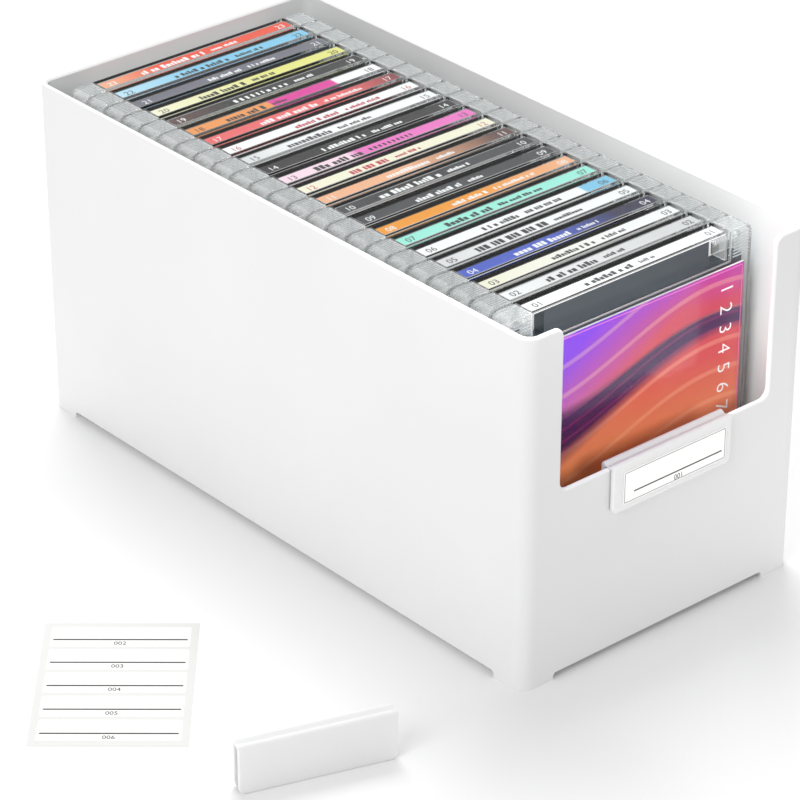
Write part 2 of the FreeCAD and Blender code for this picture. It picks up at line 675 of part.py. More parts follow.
doc = FreeCAD.newDocument("cd_storage_drawer")
sheet = add_sheet()

# How far the set reaches from the middle of the tub, so that the origin is the middle of its footprint.
SHEET_ACROSS = f"({SHEET_WIDTH} / 2 * abs(cos(sheet_turn * 1deg)))"
SHEET_ALONG = f"({SHEET_LENGTH} / 2 * abs(sin(sheet_turn * 1deg)))"
SHEET_REACH = f"({SHEET_ACROSS} + {SHEET_ALONG} + sheet_left)"
CLIP_FRONT = f"({TUB_LENGTH} / 2 - {SILL_SETBACK} + clip_play + clip_leg)"
DRAWER_X = f"(({SHEET_REACH} - {TUB_WIDTH} / 2) / 2)"
DRAWER_Y = f"(({CLIP_FRONT} + label_thickness - {TUB_LENGTH} / 2) / 2)"

CLIP_FOOT = "(sill_height - clip_leg_length)"
CLIP_PLACE = (f"({DRAWER_X} + clip_offset)", f"({DRAWER_Y} - {CLIP_FRONT})", CLIP_FOOT)
LABEL_PLACE = (
    f"({CLIP_PLACE[0]} + label_offset)",
    CLIP_PLACE[1],
    f"({CLIP_FOOT} + label_foot + label_height / 2)",
)
SPARE_PLACE = (f"({DRAWER_X} - spare_left)", f"({DRAWER_Y} - spare_front)", "0")
SHEET_PLACE = (f"({DRAWER_X} - sheet_left)", f"({DRAWER_Y} - sheet_front)", "0")
LABELS_PLACE = (*SHEET_PLACE[:2], "sheet_thickness")


def case_place(number):
    """Where the case of that number stands, counted from the sill, the first being 0."""
    from_sill = f"(front_room + {number} * {CASE_PITCH})"
    return (DRAWER_X, f"({DRAWER_Y} - {INNER_LENGTH} / 2 + {from_sill})", FLOOR_TOP)


half_sheet = (centred(f"({SHEET_WIDTH} / 2)"), centred(f"({SHEET_LENGTH} / 2)"))
backing = block("backing", *half_sheet, ("0", "sheet_thickness"))
pieces = [
    set_on(make_drawer(), (DRAWER_X, DRAWER_Y, "0")),
    set_on(make_clip("label_clip"), CLIP_PLACE),
    set_on(group("clip_label", [make_clip_label()]), LABEL_PLACE),
    set_on(make_clip("spare_clip"), SPARE_PLACE, "-spare_turn"),
    set_on(group("label_backing_sheet", [backing]), SHEET_PLACE, "-sheet_turn"),
    set_on(make_index_labels(), LABELS_PLACE, "-sheet_turn"),
]

plain_lid = make_plain_lid()
plain_base = make_plain_base()
booklet = make_booklet()
inlay_card = make_inlay()
shell_parts = [plain_lid, plain_base]
insert_parts = [make_plain_tray(), booklet, inlay_card]
first_case = [make_lid(plain_lid), make_base(plain_base), make_tray(), make_disc(), booklet, inlay_card]
for master in first_case:
    pieces.append(set_on(group(f"front_case_{master.Label}", [master]), case_place(0)))
for number in range(1, round(value_of("case_count"))):
    for suffix, members in (("shell", shell_parts), ("insert", insert_parts)):
        case_piece = group(f"case_{number + 1:02d}_{suffix}", members)
        pieces.append(set_on(case_piece, case_place(number)))

doc.recompute()
failed = [thing.Name for thing in doc.Objects if {"Invalid", "Error"} & set(thing.State)]
unsound = [piece.Label for piece in pieces if piece.Shape.isNull() or not piece.Shape.isValid()]
if failed or unsound:
    raise RuntimeError(f"failed objects {failed}, unsound shapes {unsound}")

os.makedirs("parts", exist_ok=True)
for piece in pieces:
    piece.Shape.exportStep(os.path.join("parts", f"{piece.Label}.step"))
    print(piece.Label, len(piece.Shape.Solids), "solids", round(piece.Shape.Volume, 1), "mm3")
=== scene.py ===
# %% [markdown]
# # A drawer for compact discs
# This lesson dresses a moulded drawer that holds a row of jewel cases. A CAD model already fixes every size
# and every moving part, so it is loaded first and called the frame. The work here is what the eye wants:
# clear plastic with soft edges, printed paper, and a satin white tub in quiet light.

# %% Load the frame
import json
import math
from functools import partial

import bmesh
import bpy
import numpy as np
from mathutils import Matrix, Vector

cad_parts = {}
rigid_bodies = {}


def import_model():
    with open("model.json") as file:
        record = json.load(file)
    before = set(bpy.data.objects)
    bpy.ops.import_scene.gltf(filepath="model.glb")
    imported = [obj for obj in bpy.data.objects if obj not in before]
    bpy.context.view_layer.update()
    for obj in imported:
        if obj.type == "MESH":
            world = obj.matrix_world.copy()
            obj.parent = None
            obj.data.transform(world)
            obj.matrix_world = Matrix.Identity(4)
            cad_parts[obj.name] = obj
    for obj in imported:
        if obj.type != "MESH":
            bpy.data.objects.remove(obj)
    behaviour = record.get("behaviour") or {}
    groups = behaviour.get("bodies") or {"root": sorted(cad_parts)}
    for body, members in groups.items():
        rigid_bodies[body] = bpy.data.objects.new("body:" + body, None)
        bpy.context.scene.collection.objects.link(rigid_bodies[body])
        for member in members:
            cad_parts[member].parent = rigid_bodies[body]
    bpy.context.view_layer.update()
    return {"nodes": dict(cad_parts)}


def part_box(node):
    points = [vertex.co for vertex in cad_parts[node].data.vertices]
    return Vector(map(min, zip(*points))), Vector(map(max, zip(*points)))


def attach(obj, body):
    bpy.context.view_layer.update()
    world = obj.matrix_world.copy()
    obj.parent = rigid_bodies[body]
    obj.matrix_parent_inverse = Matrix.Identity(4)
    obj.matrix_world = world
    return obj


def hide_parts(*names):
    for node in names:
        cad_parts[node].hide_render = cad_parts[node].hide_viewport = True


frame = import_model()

# %% [markdown]
# ## The camera
# A long lens keeps the drawer's edges nearly parallel, as in a catalogue picture. The camera is placed by
# two angles: the azimuth turns it round the drawer and the elevation lifts it. Its back points from the
# subject to the lens, and Blender turns the camera so that its own Z axis follows that direction. Lamps are
# aimed in the same way, so two small functions serve both: one puts a thing in the scene, one aims it.

# %% Place the camera
MM = 0.001
AZIMUTH, ELEVATION = math.radians(-40.85), math.radians(29.2)
LOOK_AT = Vector((67.6, -8.7, 46.9)) * MM
DISTANCE = 1527 * MM
LENS = 170.3


def add_object(name, data):
    """A new object in the scene."""
    made = bpy.data.objects.new(name, data)
    bpy.context.scene.collection.objects.link(made)
    return made


def aim(thing, place, backwards):
    """Puts a camera or a lamp in its place, with its back turned to a direction."""
    thing.location = place
    thing.rotation_mode = "QUATERNION"
    thing.rotation_quaternion = backwards.to_track_quat("Z", "Y")


camera = add_object("camera", bpy.data.cameras.new("camera"))
camera.data.lens = LENS
towards_lens = Vector((
    math.sin(AZIMUTH) * math.cos(ELEVATION),
    -math.cos(AZIMUTH) * math.cos(ELEVATION),
    math.sin(ELEVATION),
))
aim(camera, LOOK_AT + DISTANCE * towards_lens, towards_lens)
bpy.context.scene.camera = camera
print("camera at, mm:", [round(value / MM) for value in camera.location])

# %% [markdown]
# ## Colours and shader nodes
# Paint charts and screens give colours as sRGB hex values, but light adds up in linear numbers, so one
# function turns the first into the second. A second small function adds a shader node. Its settings come as
# keywords, and a socket takes a plain value, an output of another node, or the node itself, which stands for
# the first of its outputs in use. A third starts a finish and hands back that function, ready for it. As
# no real surface is quite even, most finishes start with a noise, which a fourth function puts in.

# %% Helpers for finishes
BLACK, WHITE = "#000000", "#FFFFFF"


def linear(colour):
    """An sRGB hex colour as linear light: v / 12.92 where dark, ((v + 0.055) / 1.055) ** 2.4 above that."""
    values = np.array([int(colour[i : i + 2], 16) for i in (1, 3, 5)]) / 255
    dark, light = values / 12.92, ((values + 0.055) / 1.055) ** 2.4
    return (*np.where(values <= 0.04045, dark, light), 1.0)


def add_node(finish, kind, inputs=(), stops=(), **settings):
    """Adds a shader node; inputs feed its sockets, in order or by name, and stops are a ramp's colours."""
    made = finish.node_tree.nodes.new("ShaderNode" + kind)
    for name, value in settings.items():
        setattr(made, name, value)
    for socket, value in dict(inputs if isinstance(inputs, dict) else enumerate(inputs)).items():
        if isinstance(value, bpy.types.Node):
            value = next(output for output in value.outputs if output.enabled)
        if isinstance(value, bpy.types.NodeSocket):
            finish.node_tree.links.new(value, made.inputs[socket])
        else:
            made.inputs[socket].default_value = value
    if stops:
        elements = made.color_ramp.elements
        while len(elements) < len(stops):
            elements.new(1.0)
        for element, (position, colour) in zip(elements, stops):
            element.position, element.color = position, linear(colour)
    return made


def new_finish(name):
    """A new material, and the function that adds a node to it."""
    finish = bpy.data.materials.new(name)
    finish.use_nodes = True
    finish.node_tree.nodes.clear()
    return finish, partial(add_node, finish)


def grained_finish(name, grain, detail):
    """A new finish with a noise in it: (material, adding function, place on the piece, noise)."""
    finish, add = new_finish(name)
    place = add("TexCoord").outputs["Object"]
    return finish, add, place, add("TexNoise", {"Vector": place, "Scale": 1 / grain, "Detail": detail})


def coat(finish, inputs):
    """Ends a finish with one Principled shader."""
    add_node(finish, "OutputMaterial", {"Surface": add_node(finish, "BsdfPrincipled", inputs)})
    return finish


print("white in linear light:", linear(WHITE), "mid grey:", round(linear("#808080")[0], 3))

# %% [markdown]
# ## Light and floor
# White goods on a white floor need very soft light, or they burn out. A white world gives most of it. One
# large softbox hangs high behind the drawer and makes a short soft shadow on the near side, and one on the
# left makes the long wall a little brighter than the front, so that the corner between them reads. The
# function that adds a softbox can keep its light on a few pieces, as shades of black foil do in a studio.

# %% Studio
def softbox(name, place, size, watts, towards=LOOK_AT, pieces=None):
    """A square area light that shows in no mirror image, and lights only some pieces if they are named."""
    lamp = add_object(name, bpy.data.lights.new(name, "AREA"))
    lamp.data.size, lamp.data.energy = size, watts
    lamp.visible_camera = lamp.visible_glossy = lamp.visible_transmission = False
    aim(lamp, place, Vector(place) - Vector(towards))
    if pieces:
        lit = bpy.data.collections.new(f"lit_by_{name}")
        for thing in pieces:
            lit.objects.link(thing)
        lamp.light_linking.receiver_collection = lit
    return lamp


WORLD_LIGHT = 0.57
softbox("softbox_overhead", (0.45, 0.6, 1.4), size=0.8, watts=13)
softbox("softbox_left", (-1.25, -0.42, 1.05), size=0.9, watts=8.2)
world = bpy.data.worlds.new("studio")
world.use_nodes = True
backdrop = world.node_tree.nodes["Background"].inputs
backdrop["Color"].default_value = linear(WHITE)
backdrop["Strength"].default_value = WORLD_LIGHT
bpy.context.scene.world = world
bpy.context.scene.view_settings.view_transform = "Standard"

# %% [markdown]
# ## Surfaces from formulas
# Every new piece is a grid of points worked out with numpy and handed to Blender in one go. The rows and
# columns of the grid are the surface's two parameters, and the faces are the quads between neighbours.
# Most pieces of a jewel case are flat mouldings, so one function makes a plate: an outline that is carried
# through its thickness, and drawn in a little at both ends so that the edges come out round. Sharp edges
# would catch no light, and real mouldings never have them.

# %% Outlines and plates
def round_corners(corners, radius, steps=3):
    """A counter-clockwise outline with round corners.

    Each corner becomes an arc that starts radius * tan(turn / 2) before it, about a centre that lies one
    radius to the inner side of the turn. All arcs are worked out together as one array.
    """
    corners = np.array(corners, float)
    radius = np.broadcast_to(np.asarray(radius, float), len(corners))[:, None]
    out = np.roll(corners, -1, 0) - corners
    out /= np.linalg.norm(out, axis=1, keepdims=True)
    arriving = np.roll(out, 1, 0)
    turn = np.arctan2(
        arriving[:, 0] * out[:, 1] - arriving[:, 1] * out[:, 0], (arriving * out).sum(1)
    )[:, None]
    start = corners - arriving * radius * np.tan(abs(turn) / 2)
    side = np.sign(turn) * np.stack([-arriving[:, 1], arriving[:, 0]], 1)
    spoke = (-side * radius)[:, None, :]
    angle = turn * np.linspace(0, 1, steps + 1)
    cosine, sine = np.cos(angle), np.sin(angle)
    arcs = np.stack([
        spoke[..., 0] * cosine - spoke[..., 1] * sine,
        spoke[..., 0] * sine + spoke[..., 1] * cosine,
    ], axis=-1)
    return (arcs + (start + side * radius)[:, None, :]).reshape(-1, 2)


def drawn_in(outline, distance):
    """The outline moved inwards: a corner moves by (n1 + n2) / (1 + n1 . n2), its two sides' normals."""
    along = np.roll(outline, -1, 0) - outline
    along /= np.linalg.norm(along, axis=1, keepdims=True)
    after = np.stack([-along[:, 1], along[:, 0]], 1)
    before = np.roll(after, 1, 0)
    return outline + distance * (after + before) / (1 + (after * before).sum(1))[:, None]


def skin(rows, columns):
    """Faces of a grid whose columns run round and meet, closed by a flat cap at either end."""
    column = np.arange(columns)
    here = np.arange(rows - 1)[:, None] * columns + column
    right = np.arange(rows - 1)[:, None] * columns + (column + 1) % columns
    sides = np.stack([here, right, right + columns, here + columns], -1).reshape(-1, 4).tolist()
    last = (rows - 1) * columns
    return sides + [list(range(columns))[::-1], list(range(last, last + columns))]


PLANES = {"xz": (0, 2, 1), "xy": (0, 1, 2), "yz": (1, 2, 0)}


def plate(outline, low, high, edge=0.2, plane="xz", steps=2):
    """A flat moulding: (points, faces) of an outline carried from one level to another.

    Row i of the grid is the outline drawn in by edge * (1 - sin a) at a height of edge * (1 - cos a) from
    the nearer end, with a from 0 to a quarter turn, so that both rims are quarter rounds.
    """
    angle = np.linspace(0, math.pi / 2, steps + 1)
    reach, rise = edge * (1 - np.sin(angle)), edge * (1 - np.cos(angle))
    reaches = np.concatenate([reach, reach[::-1]])
    levels = np.concatenate([low + rise, high - rise[::-1]])
    across, up, through = PLANES[plane]
    rows = np.stack([drawn_in(outline, distance) for distance in reaches])
    points = np.empty((*rows.shape[:2], 3))
    points[..., across], points[..., up] = rows[..., 0], rows[..., 1]
    points[..., through] = levels[:, None]
    return points.reshape(-1, 3), skin(*rows.shape[:2])


def rectangle(left, low, right, high, radius=0.2, steps=2):
    """A rectangle's outline with small round corners."""
    return round_corners([(left, low), (right, low), (right, high), (left, high)], radius, steps)


print("a plate has", len(plate(rectangle(0, 0, 10, 10), 0, 1)[0]), "points")

# %% [markdown]
# ## From points to pieces
# A piece may be several closed shapes side by side, such as the leaves of a booklet, so they are joined
# into one mesh. Where mouldings run into each other, as the walls of a case do, they have to be one skin:
# light that passes through clear plastic would show every hidden wall inside. A Boolean union does that.
# Cuts, such as the holes of a hinge, are taken out the same way.

# %% Meshes, unions and pieces
MERGE_DISTANCE, TINY = 1e-7, 1e-30


def mesh_of(name, shapes, slots=None):
    """One mesh of several (points, faces) shapes in millimetres, each in the material slot named for it."""
    starts = np.cumsum([0] + [len(points) for points, _ in shapes])
    faces = [[corner + start for corner in face] for (_, some), start in zip(shapes, starts) for face in some]
    mesh = bpy.data.meshes.new(name)
    mesh.from_pydata((np.concatenate([points for points, _ in shapes]) * MM).tolist(), [], faces)
    if slots:
        indices = np.repeat(slots, [len(some) for _, some in shapes])
        mesh.polygons.foreach_set("material_index", indices.astype(np.int32))
    work = bmesh.new()
    work.from_mesh(mesh)
    bmesh.ops.remove_doubles(work, verts=work.verts, dist=MERGE_DISTANCE)
    bmesh.ops.recalc_face_normals(work, faces=work.faces)
    work.to_mesh(mesh)
    work.free()
    return mesh


def moulded(name, solids, cuts=()):
    """One closed skin: the union of some shapes, less others."""
    main = add_object(name, mesh_of(name, [solids[0]]))
    tools = [("UNION", [shape]) for shape in solids[1:]] + ([("DIFFERENCE", list(cuts))] if cuts else [])
    helpers = []
    for number, (operation, shapes) in enumerate(tools):
        tool = add_object(f"{name}_tool_{number}", mesh_of(f"{name}_tool", shapes))
        helpers.append(tool)
        step = main.modifiers.new(f"step_{number}", "BOOLEAN")
        step.operation, step.object, step.solver = operation, tool, "EXACT"
    result = bpy.data.meshes.new_from_object(main.evaluated_get(bpy.context.evaluated_depsgraph_get()))
    for helper in [main, *helpers]:
        bpy.data.objects.remove(helper)
    return result


def read(items, what, width=1, kind=float):
    """One attribute of all points, faces or corners of a mesh, a row for each."""
    values = np.empty(len(items) * width, kind)
    items.foreach_get(what, values)
    return values.reshape(-1, width) if width > 1 else values


def shade_round(mesh):
    """Shades a piece whose edges are all round: each point takes its faces' normals times area squared."""
    areas = read(mesh.polygons, "area")[:, None]
    weighted = read(mesh.polygons, "normal", 3) * (areas / areas.max()) ** 2
    around = np.repeat(weighted, read(mesh.polygons, "loop_total", kind=np.int32), axis=0)
    sums = np.zeros((len(mesh.vertices), 3))
    np.add.at(sums, read(mesh.loops, "vertex_index", kind=np.int32), around)
    sums /= np.maximum(np.linalg.norm(sums, axis=1, keepdims=True), TINY)
    mesh.polygons.foreach_set("use_smooth", np.ones(len(areas), bool))
    mesh.normals_split_custom_set_from_vertices(sums.tolist())
    return mesh


def moved(mesh, offset):
    """A copy of a mesh, moved by an offset in millimetres."""
    copy = mesh.copy()
    place = read(copy.vertices, "co", 3, np.float32)
    copy.vertices.foreach_set("co", (place + np.array(offset) * MM).ravel())
    copy.update()
    return copy


def piece(name, mesh, finishes, body, replaces=()):
    """Puts a mesh in the scene as a piece of the object."""
    made = add_object(name, mesh)
    mesh.name = name
    for finish in finishes:
        mesh.materials.append(finish)
    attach(made, body)
    if replaces:
        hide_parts(*replaces)


def dress(node_name, finish):
    """Gives a CAD node that is shown as it is a finish."""
    for slot in frame["nodes"][node_name].material_slots:
        slot.material = finish


def box_mm(node_name):
    """Lowest and highest corner of a CAD node in millimetres."""
    low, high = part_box(node_name)
    return np.array(low) / MM, np.array(high) / MM


tub_low, tub_high = box_mm("drawer")
print("tub, mm:", *(tub_high - tub_low).round(1))

# %% [markdown]
# ## The floor
# The floor is only a stage, so it doesn't count as part of the object. It is matt, because a mirror image
# of the drawer would compete with it, and large, so that its end is never in the picture.

# %% Floor
matt_floor, _ = new_finish("matt_white_studio_floor")
coat(matt_floor, {"Base Color": linear("#FAFAFA"), "Roughness": 0.9, "Specular IOR Level": 0.1})
FLOOR_REACH, FLOOR_DROP, FLOOR_THICKNESS = 4000, 0.02, 5
floor_outline = rectangle(-FLOOR_REACH, -FLOOR_REACH, FLOOR_REACH, FLOOR_REACH)
floor_slab = plate(floor_outline, -FLOOR_DROP - FLOOR_THICKNESS, -FLOOR_DROP, plane="xy")
floor_mesh = mesh_of("studio_floor", [floor_slab])
floor_mesh.materials.append(matt_floor)
studio_floor = add_object("studio_floor", floor_mesh)
print("floor, m:", tuple(round(side, 2) for side in studio_floor.dimensions))

# %% [markdown]
# ## Satin white polypropylene
# The tub and the clips are injection moulded in white polypropylene from a lightly blasted mould. To the
# eye that is a white that is never quite even, with a broad soft highlight and no mirror image. The grain
# of the mould is about 0.25 mm, and a slow drift in gloss comes from how the melt flowed. Thin walls of it
# let some light soak through, so the slot of a clip is never black.

# %% Tub and clip finish
GRAIN, FLOW, RELIEF, SOAK_DEPTH = 0.25 * MM, 60 * MM, 0.02 * MM, 1.5 * MM
GLOSS_SPREAD = 0.05


def satin_polypropylene(name, colour, drift, roughness, soak=0.0):
    """White polypropylene from a blasted mould: fine grain in the bump, slow drift in the gloss.

    soak is the share of the light that wanders through the plastic before it comes out again.
    """
    finish, add, place, flow = grained_finish(name, FLOW, detail=2.0)
    gloss = add("MapRange", {
        "Value": flow, "To Min": roughness - GLOSS_SPREAD, "To Max": roughness + GLOSS_SPREAD,
    })
    shade = add("ValToRGB", [flow], [(0.0, colour), (1.0, drift)])
    grain = add("TexNoise", {"Vector": place, "Scale": 1 / GRAIN, "Detail": 1.0})
    bump = add("Bump", {"Height": grain, "Strength": 0.12, "Distance": RELIEF})
    return coat(finish, {
        "Base Color": shade, "Roughness": gloss, "IOR": 1.49, "Normal": bump,
        "Subsurface Weight": soak, "Subsurface Radius": (1, 1, 1), "Subsurface Scale": SOAK_DEPTH,
    })


tub_white = satin_polypropylene("satin_white_polypropylene", "#F4F4F4", "#EEEEEE", roughness=0.42)
clip_white = satin_polypropylene("gloss_white_polypropylene", "#F2F2F2", "#EEEEEE", roughness=0.3, soak=0.6)
dress("drawer", tub_white)
print("finishes:", tub_white.name, clip_white.name)

# %% [markdown]
# ## The clips
# A clip is a saddle that straddles the sill, with a leg down each side of the wall. Its top is dished, so
# that a thumb finds it. One cross-section, an arch on two legs, is carried along the sill. Near either end
# the section is drawn in a little, which rounds the end's edges, and its feet are lifted along a circle,
# which rounds the lower corners. So the whole clip is a single grid of points, closed by two flat ends.

# %% Model the clips
clip_low, clip_high = box_mm("label_clip")
CLIP_WIDTH, CLIP_DEPTH, CLIP_HEIGHT = clip_high - clip_low
CLIP_LEG, CLIP_SADDLE, DISH, DISH_BORDER = 1.8, 1.8, 1.0, 1.5
CORNER_ROUND, SHOULDER_ROUND, CORNER_STEPS, LEG_ROWS = 0.5, 1.2, 5, 6
CLIP_EDGE, FOOT_ROUND, END_STEPS, DISH_POINTS = 0.35, 2.6, 6, 11
SPARE_TURN = -18.6


def clip_section():
    """The arch seen from its end: two legs, the slot between them and a dished top.

    The dish is cut by (1 - t^2)^2 of its depth, t running from -1 to 1 across the top. It and a few rows up
    the outer face of each leg are put in between the arch's corners, which are arcs of equally many points.
    """
    under = CLIP_HEIGHT - CLIP_SADDLE
    slot = CLIP_DEPTH - CLIP_LEG
    arch = round_corners([
        (CLIP_DEPTH, 0), (CLIP_DEPTH, CLIP_HEIGHT), (0, CLIP_HEIGHT), (0, 0),
        (CLIP_LEG, 0), (CLIP_LEG, under), (slot, under), (slot, 0),
    ], [CORNER_ROUND, SHOULDER_ROUND, SHOULDER_ROUND] + 5 * [CORNER_ROUND], CORNER_STEPS)
    across = np.linspace(-1, 1, DISH_POINTS)
    dish = np.stack([
        CLIP_DEPTH / 2 - across * (CLIP_DEPTH / 2 - DISH_BORDER),
        CLIP_HEIGHT - DISH * (1 - across ** 2) ** 2,
    ], 1)
    rows_up = np.linspace(CORNER_ROUND, CLIP_HEIGHT - SHOULDER_ROUND, LEG_ROWS + 2)[1:-1]
    inner_leg = np.stack([np.full(LEG_ROWS, CLIP_DEPTH), rows_up], 1)
    outer_leg = np.stack([np.zeros(LEG_ROWS), rows_up[::-1]], 1)
    inner_foot, inner_shoulder, outer_shoulder, rest = np.split(arch, (CORNER_STEPS + 1) * np.arange(1, 4))
    return np.concatenate([inner_foot, inner_leg, inner_shoulder, dish, outer_shoulder, outer_leg, rest])


def clip_shape():
    """The section at each station along the clip, as (points, faces), from the middle of its width.

    At a distance d from the nearer end the section is drawn in by e - sqrt(e^2 - (e - d)^2) while d is
    under the edge e, and its feet are lifted by r - sqrt(r^2 - (r - d)^2) while d is under the corner r.
    """
    section = clip_section()
    angle = np.linspace(0, math.pi / 2, END_STEPS + 1)
    from_end = np.unique(np.concatenate([
        CLIP_EDGE * (1 - np.cos(angle)), FOOT_ROUND * (1 - np.cos(angle)),
    ]).round(4))
    stations = np.concatenate([from_end - CLIP_WIDTH / 2, CLIP_WIDTH / 2 - from_end[::-1]])
    distance = CLIP_WIDTH / 2 - abs(stations)

    def rise(radius):
        missing = np.maximum(radius - distance, 0)
        return radius - np.sqrt(radius ** 2 - missing ** 2)

    rows = np.stack([drawn_in(section, inset) for inset in rise(CLIP_EDGE)])
    foot = rows[..., 1] < CLIP_HEIGHT / 2
    height = rows[..., 1] + foot * rise(FOOT_ROUND)[:, None]
    points = np.stack(np.broadcast_arrays(stations[:, None], rows[..., 0], height), -1)
    return points.reshape(-1, 3), skin(*rows.shape[:2])


def turned_axes(degrees):
    """Right and back of a thing turned about the upright by a: (cos a, sin a, 0) and (-sin a, cos a, 0)."""
    angle = math.radians(degrees)
    return np.array([(math.cos(angle), math.sin(angle), 0), (-math.sin(angle), math.cos(angle), 0)])


def turned(mesh, degrees):
    """A copy of a mesh, turned about the upright."""
    copy = mesh.copy()
    copy.transform(Matrix.Rotation(math.radians(degrees), 4, "Z"))
    return copy


clip_mesh = mesh_of("clip", [clip_shape()])
mounted_place = ((clip_low[0] + clip_high[0]) / 2, clip_low[1], clip_low[2])
mounted_clip = shade_round(moved(clip_mesh, mounted_place))
piece("clip_on_sill", mounted_clip, [clip_white], "label_clip", ["label_clip"])
spare_low, spare_high = box_mm("spare_clip")
middle_back = CLIP_DEPTH / 2 * turned_axes(SPARE_TURN)[1]
spare_place = (*((spare_low + spare_high) / 2 - middle_back)[:2], spare_low[2])
spare_mesh = shade_round(moved(turned(clip_mesh, SPARE_TURN), spare_place))
piece("clip_spare", spare_mesh, [clip_white], "spare_clip", ["spare_clip"])
print("clip:", len(clip_mesh.polygons), "faces")

# %% [markdown]
# ## Clear polystyrene
# A jewel case is moulded in crystal polystyrene, the clearest and most brittle of the cheap plastics. Its
# faces almost vanish, while its edges and ribs gather the light of the whole sheet and shine nearly white.
# Here that glow is painted: edge and rib faces are partly milky and scatter light of their own, white on the
# edges and grey on the ribs for their mix of glints and shaded lines. The real one bends light by 1.59, but
# with so many thin walls behind one another that greys every colour below, so it is set lower here. Three
# finishes share one recipe: faces, edges and the ribs of the ears.

# %% Clear finishes
RIPPLE = 9 * MM


def crystal_polystyrene(name, roughness, clearness, tint=WHITE):
    """Clear moulded plastic with the faint ripple of cooling; what isn't clear in it scatters light as white.

    Rays on their way to a lamp, and rays scattered by paper, go straight through it, because a path tracer
    finds no lamp behind a bent ray and would leave everything inside a case in the dark.
    """
    finish, add, _, ripple = grained_finish(name, RIPPLE, detail=1.0)
    surface = add("BsdfPrincipled", {
        "Base Color": linear(tint), "Roughness": roughness, "IOR": 1.25, "Transmission Weight": clearness,
        "Normal": add("Bump", {"Height": ripple, "Strength": 0.04, "Distance": RELIEF}),
    })
    path = add("LightPath").outputs
    straight = add("Math", [path["Is Shadow Ray"], path["Is Diffuse Ray"]], operation="MAXIMUM")
    through = add("BsdfTransparent", {"Color": linear("#FCFEFE")})
    add("OutputMaterial", {"Surface": add("MixShader", [straight, surface, through])})
    return finish


clear = crystal_polystyrene("crystal_polystyrene", roughness=0.02, clearness=1.0)
# Edges and ribs are partly milky, a painted glow: they scatter light of their own, grey on the ribs.
painted_glow_edge = crystal_polystyrene("crystal_polystyrene_edge", roughness=0.1, clearness=0.78)
painted_sheen_rib = crystal_polystyrene("crystal_polystyrene_rib", roughness=0.15, clearness=0.35, tint="#BCC0C2")
print("finishes:", clear.name, painted_glow_edge.name, painted_sheen_rib.name)

# %% [markdown]
# ## Sizes of a jewel case
# The frame says where the first case stands and how large its pieces are. Everything in a case is drawn
# from its own corner: x from the middle, y from the cover face back, z from the opening edge up to the
# hinge edge, because the cases stand with their spines on top.

# %% Read the case from the frame
def case_corner(node_name):
    """The point of a case from which its pieces are drawn: middle, cover face, opening edge."""
    low, high = box_mm(node_name)
    return np.array([(low[0] + high[0]) / 2, low[1], low[2]])


FIRST = case_corner("front_case_lid")
case_box = {
    part: [corner - FIRST for corner in box_mm(f"front_case_{part}")]
    for part in ("lid", "base", "tray", "inlay_card", "booklet")
}
base_low, base_high = case_box["base"]
tray_low, tray_high = case_box["tray"]
card_low, card_high = case_box["inlay_card"]
booklet_low, booklet_high = case_box["booklet"]
HALF, DEPTH, RISE = case_box["lid"][1]
WALL, FIT = 1.2, 0.25
EAR, HINGE_DEPTH = 11.5, 13.0
HINGE_LINE = RISE - HINGE_DEPTH
SPINE_HALF = HALF - EAR - FIT
CHEEK_HALF = SPINE_HALF - WALL
BURIED = 0.5
print(f"a case is {2 * HALF:.0f} x {RISE:.0f} x {DEPTH:.1f} mm")

# %% [markdown]
# ## The lid
# The lid is a panel with a wall down each side. At the hinge edge each wall turns the corner and becomes
# an ear, and between the ears the panel stops short so that the spine shows. The side wall and its ear are
# one bent strip, so they are drawn as one outline. Low grip ribs run along each ear on top and in front:
# real ones are 0.6 mm apart, but 1.3 mm is as fine as shows at this size. Two pins turn in the base.

# %% Model the lid
EAR_ROUND, PANEL_ROUND, STRIP_ROUND, LID_EDGE = 3.4, 0.6, 0.55, 0.5
PIN_RADIUS, PIN_PLAY, PIN_GRIP, ROD_EDGE = 1.5, 0.1, 1, 1 / 8
PIN_Y, PIN_Z = (base_low[1] + DEPTH) / 2, HINGE_LINE + HINGE_DEPTH / 2
RIB_PITCH, RIB_WIDTH, RIB_HEIGHT, SMOOTH_BORDER = 1.3, 0.55, 0.2, 1.3
RIB_EDGE, SQUARE_ENOUGH, EAR_STEPS, RIB_POINTS, KEEPER_POINTS = 0.03, 0.95, 6, 7, 13
KEEPER_REACH, KEEPER_WIDTH, KEEPER_SPREAD, KEEPER_THICKNESS, KEEPER_EDGE = 3.0, 9.0, 70.0, 0.8, 0.15


def mirrored(outline):
    """The outline on the other side of the case, still counter-clockwise."""
    return (outline * (-1, 1))[::-1]


def both_sides(low, high):
    """A span along x and its mirror image."""
    return (low, high), (-high, -low)


def rod(centre, radius, low, high, plane, sides=16):
    """A round bar: a circle carried along a line."""
    angle = np.linspace(0, 2 * math.pi, sides, endpoint=False)
    circle = np.stack([np.cos(angle), np.sin(angle)], 1) * radius + centre
    return plate(circle, low, high, radius * ROD_EDGE, plane, 1)


